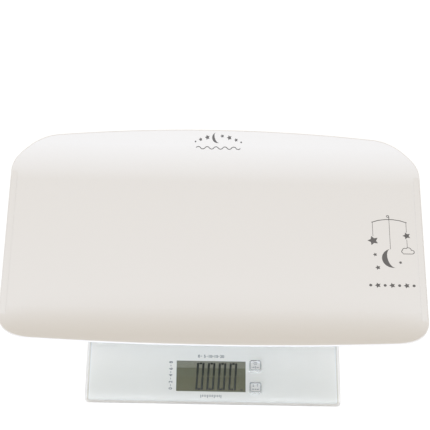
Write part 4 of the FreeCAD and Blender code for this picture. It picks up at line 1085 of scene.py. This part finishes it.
# %% Door arrow
DOOR_ARROW_INSET = 7.25
DOOR_ARROW_LENGTH = 8.0
DOOR_ARROW_LINE = 1.0


def make_door_arrow():
    low, high = [Vector(corner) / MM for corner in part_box("battery_door")]
    mesh = bmesh.new()
    arrow(mesh, 0, 0, 270, DOOR_ARROW_LENGTH, DOOR_ARROW_LINE)
    spot = Vector(((low.x + high.x) / 2, low.y + DOOR_ARROW_INSET, low.z)) * MM
    place = Matrix.Translation(spot) @ Matrix.Rotation(math.radians(180), 4, "X")
    finish_piece("door_arrow", mesh, "battery_door", PRINT_GREY, place)


make_door_arrow()

# %% [markdown]
# ## Prints on the tray
# A baby's tray usually has a small friendly print. Here a nursery mobile hangs at the right end:
# a bow with a star, a crescent moon and a cloud on threads. A little night sky is printed on the
# rear wall. That wall is straight near its rim and curved below, so the drawing gets its thickness
# while it is flat, and then each of its corners is carried up the slope or round the curve.

# %% Tray prints
TRAY_FLOOR = 43.0
TRAY_MIDDLE_Y = 29.5
FLAT_HALF = 99.5
WALL_CURVE = 84.0
WALL_SLOPE = 34.0
LINE = 0.8
THREAD = 0.5
MOBILE_SIZE = 1.17
MOBILE_X = 0.2305
MOBILE_THREADS = ((-19, 33.6, 14.5), (0, 37.2, -2.5), (19, 33.6, 20.0))
MOBILE_STARS = ((-19, 8.5, 6.5), (19, 15.5, 4.8), (-17.5, -10.0, 2.6), (10.5, -20.0, 2.2),
                (-15, -27, 3.2))
ROW_OF_STARS = 7
ROW_OF_STARS_PITCH = 8
ROW_OF_STARS_Y = -50.0
SKY_SIZE = 1.14
SKY_PLACE = (3.0, 7.2, 0)
WAVES = 10


def cloud_line(mesh, x, y, width):
    """A cloud drawn in one go: a flat foot and four bumps of different sizes."""
    step = width / 6
    pen(mesh, (x - width / 2 + step, y), 0, LINE, [
        ("go", 4 * step), ("turn", step, 200), ("face", -115), ("turn", 1.25 * step, 150),
        ("face", -95), ("turn", 0.95 * step, 130), ("face", -60), ("turn", 0.9 * step, 140)])


def make_mobile_print():
    """A bow on a hook, threads with stars, a crescent and a cloud, and a row of stars below."""
    mesh = bmesh.new()
    pen(mesh, (-20, 33), 24, 1.0, [("turn", 49, -48)])
    pen(mesh, (0, 37.3), 90, LINE, [("go", 4.0), ("turn", 1.3, 330)])
    for x, top, low in MOBILE_THREADS:
        pen(mesh, (x, top), 270, THREAD, [("go", top - low)])
    pen(mesh, (19, 10.5), 270, THREAD, [("go", 10.5)])
    for x, y, radius in MOBILE_STARS:
        star(mesh, x, y, radius)
    crescent(mesh, 2.5, -14.5, 12.5, 12)
    cloud_line(mesh, 19, -8.5, 15.0)
    for number in range(ROW_OF_STARS):
        x = ROW_OF_STARS_PITCH * (number - (ROW_OF_STARS - 1) / 2)
        if number % 2:
            star(mesh, x, ROW_OF_STARS_Y, 3.6)
        else:
            dot(mesh, x, ROW_OF_STARS_Y, 1.7)
    bmesh.ops.scale(mesh, verts=mesh.verts, vec=(MOBILE_SIZE, MOBILE_SIZE, 1))
    place = Matrix.Translation((MOBILE_X, TRAY_MIDDLE_Y * MM, TRAY_FLOOR * MM))
    finish_piece("tray_mobile_print", mesh, "tray", PRINT_GREY, place)


def wrap_to_wall(mesh):
    """Lay a drawing on the rear wall: straight where y is above 0, and round the curve below."""
    slope = math.radians(WALL_SLOPE)
    for corner in mesh.verts:
        along, lift = corner.co.y, corner.co.z
        angle = slope + min(along, 0) / WALL_CURVE
        straight = max(along, 0)
        reach = WALL_CURVE - lift
        bend = TRAY_MIDDLE_Y + FLAT_HALF
        corner.co.y = bend + reach * math.sin(angle) + straight * math.cos(slope)
        centre = TRAY_FLOOR + WALL_CURVE
        corner.co.z = centre - reach * math.cos(angle) + straight * math.sin(slope)


def make_sky_print():
    """A crescent among stars and dots, over a line of waves."""
    mesh = bmesh.new()
    crescent(mesh, -1.0, 4.4, 6.4, 20)
    star(mesh, 4.6, 6.4, 2.4)
    for side in (-1, 1):
        star(mesh, side * 13, 4.6, 3.2)
        star(mesh, side * 21, 2.0, 2.4)
        dot(mesh, side * 27, -0.6, 1.0)
    waves = [("turn", 3.2, 110 if number % 2 else -110) for number in range(WAVES)]
    pen(mesh, (-26.2, -7.8), 55, 1.0, waves)
    bmesh.ops.scale(mesh, verts=mesh.verts, vec=(SKY_SIZE, SKY_SIZE, 1))
    bmesh.ops.translate(mesh, verts=mesh.verts, vec=SKY_PLACE)
    raise_film(mesh)
    wrap_to_wall(mesh)
    finish_piece("tray_sky_print", mesh, "tray", PRINT_GREY, Matrix.Identity(4))


make_mobile_print()
make_sky_print()
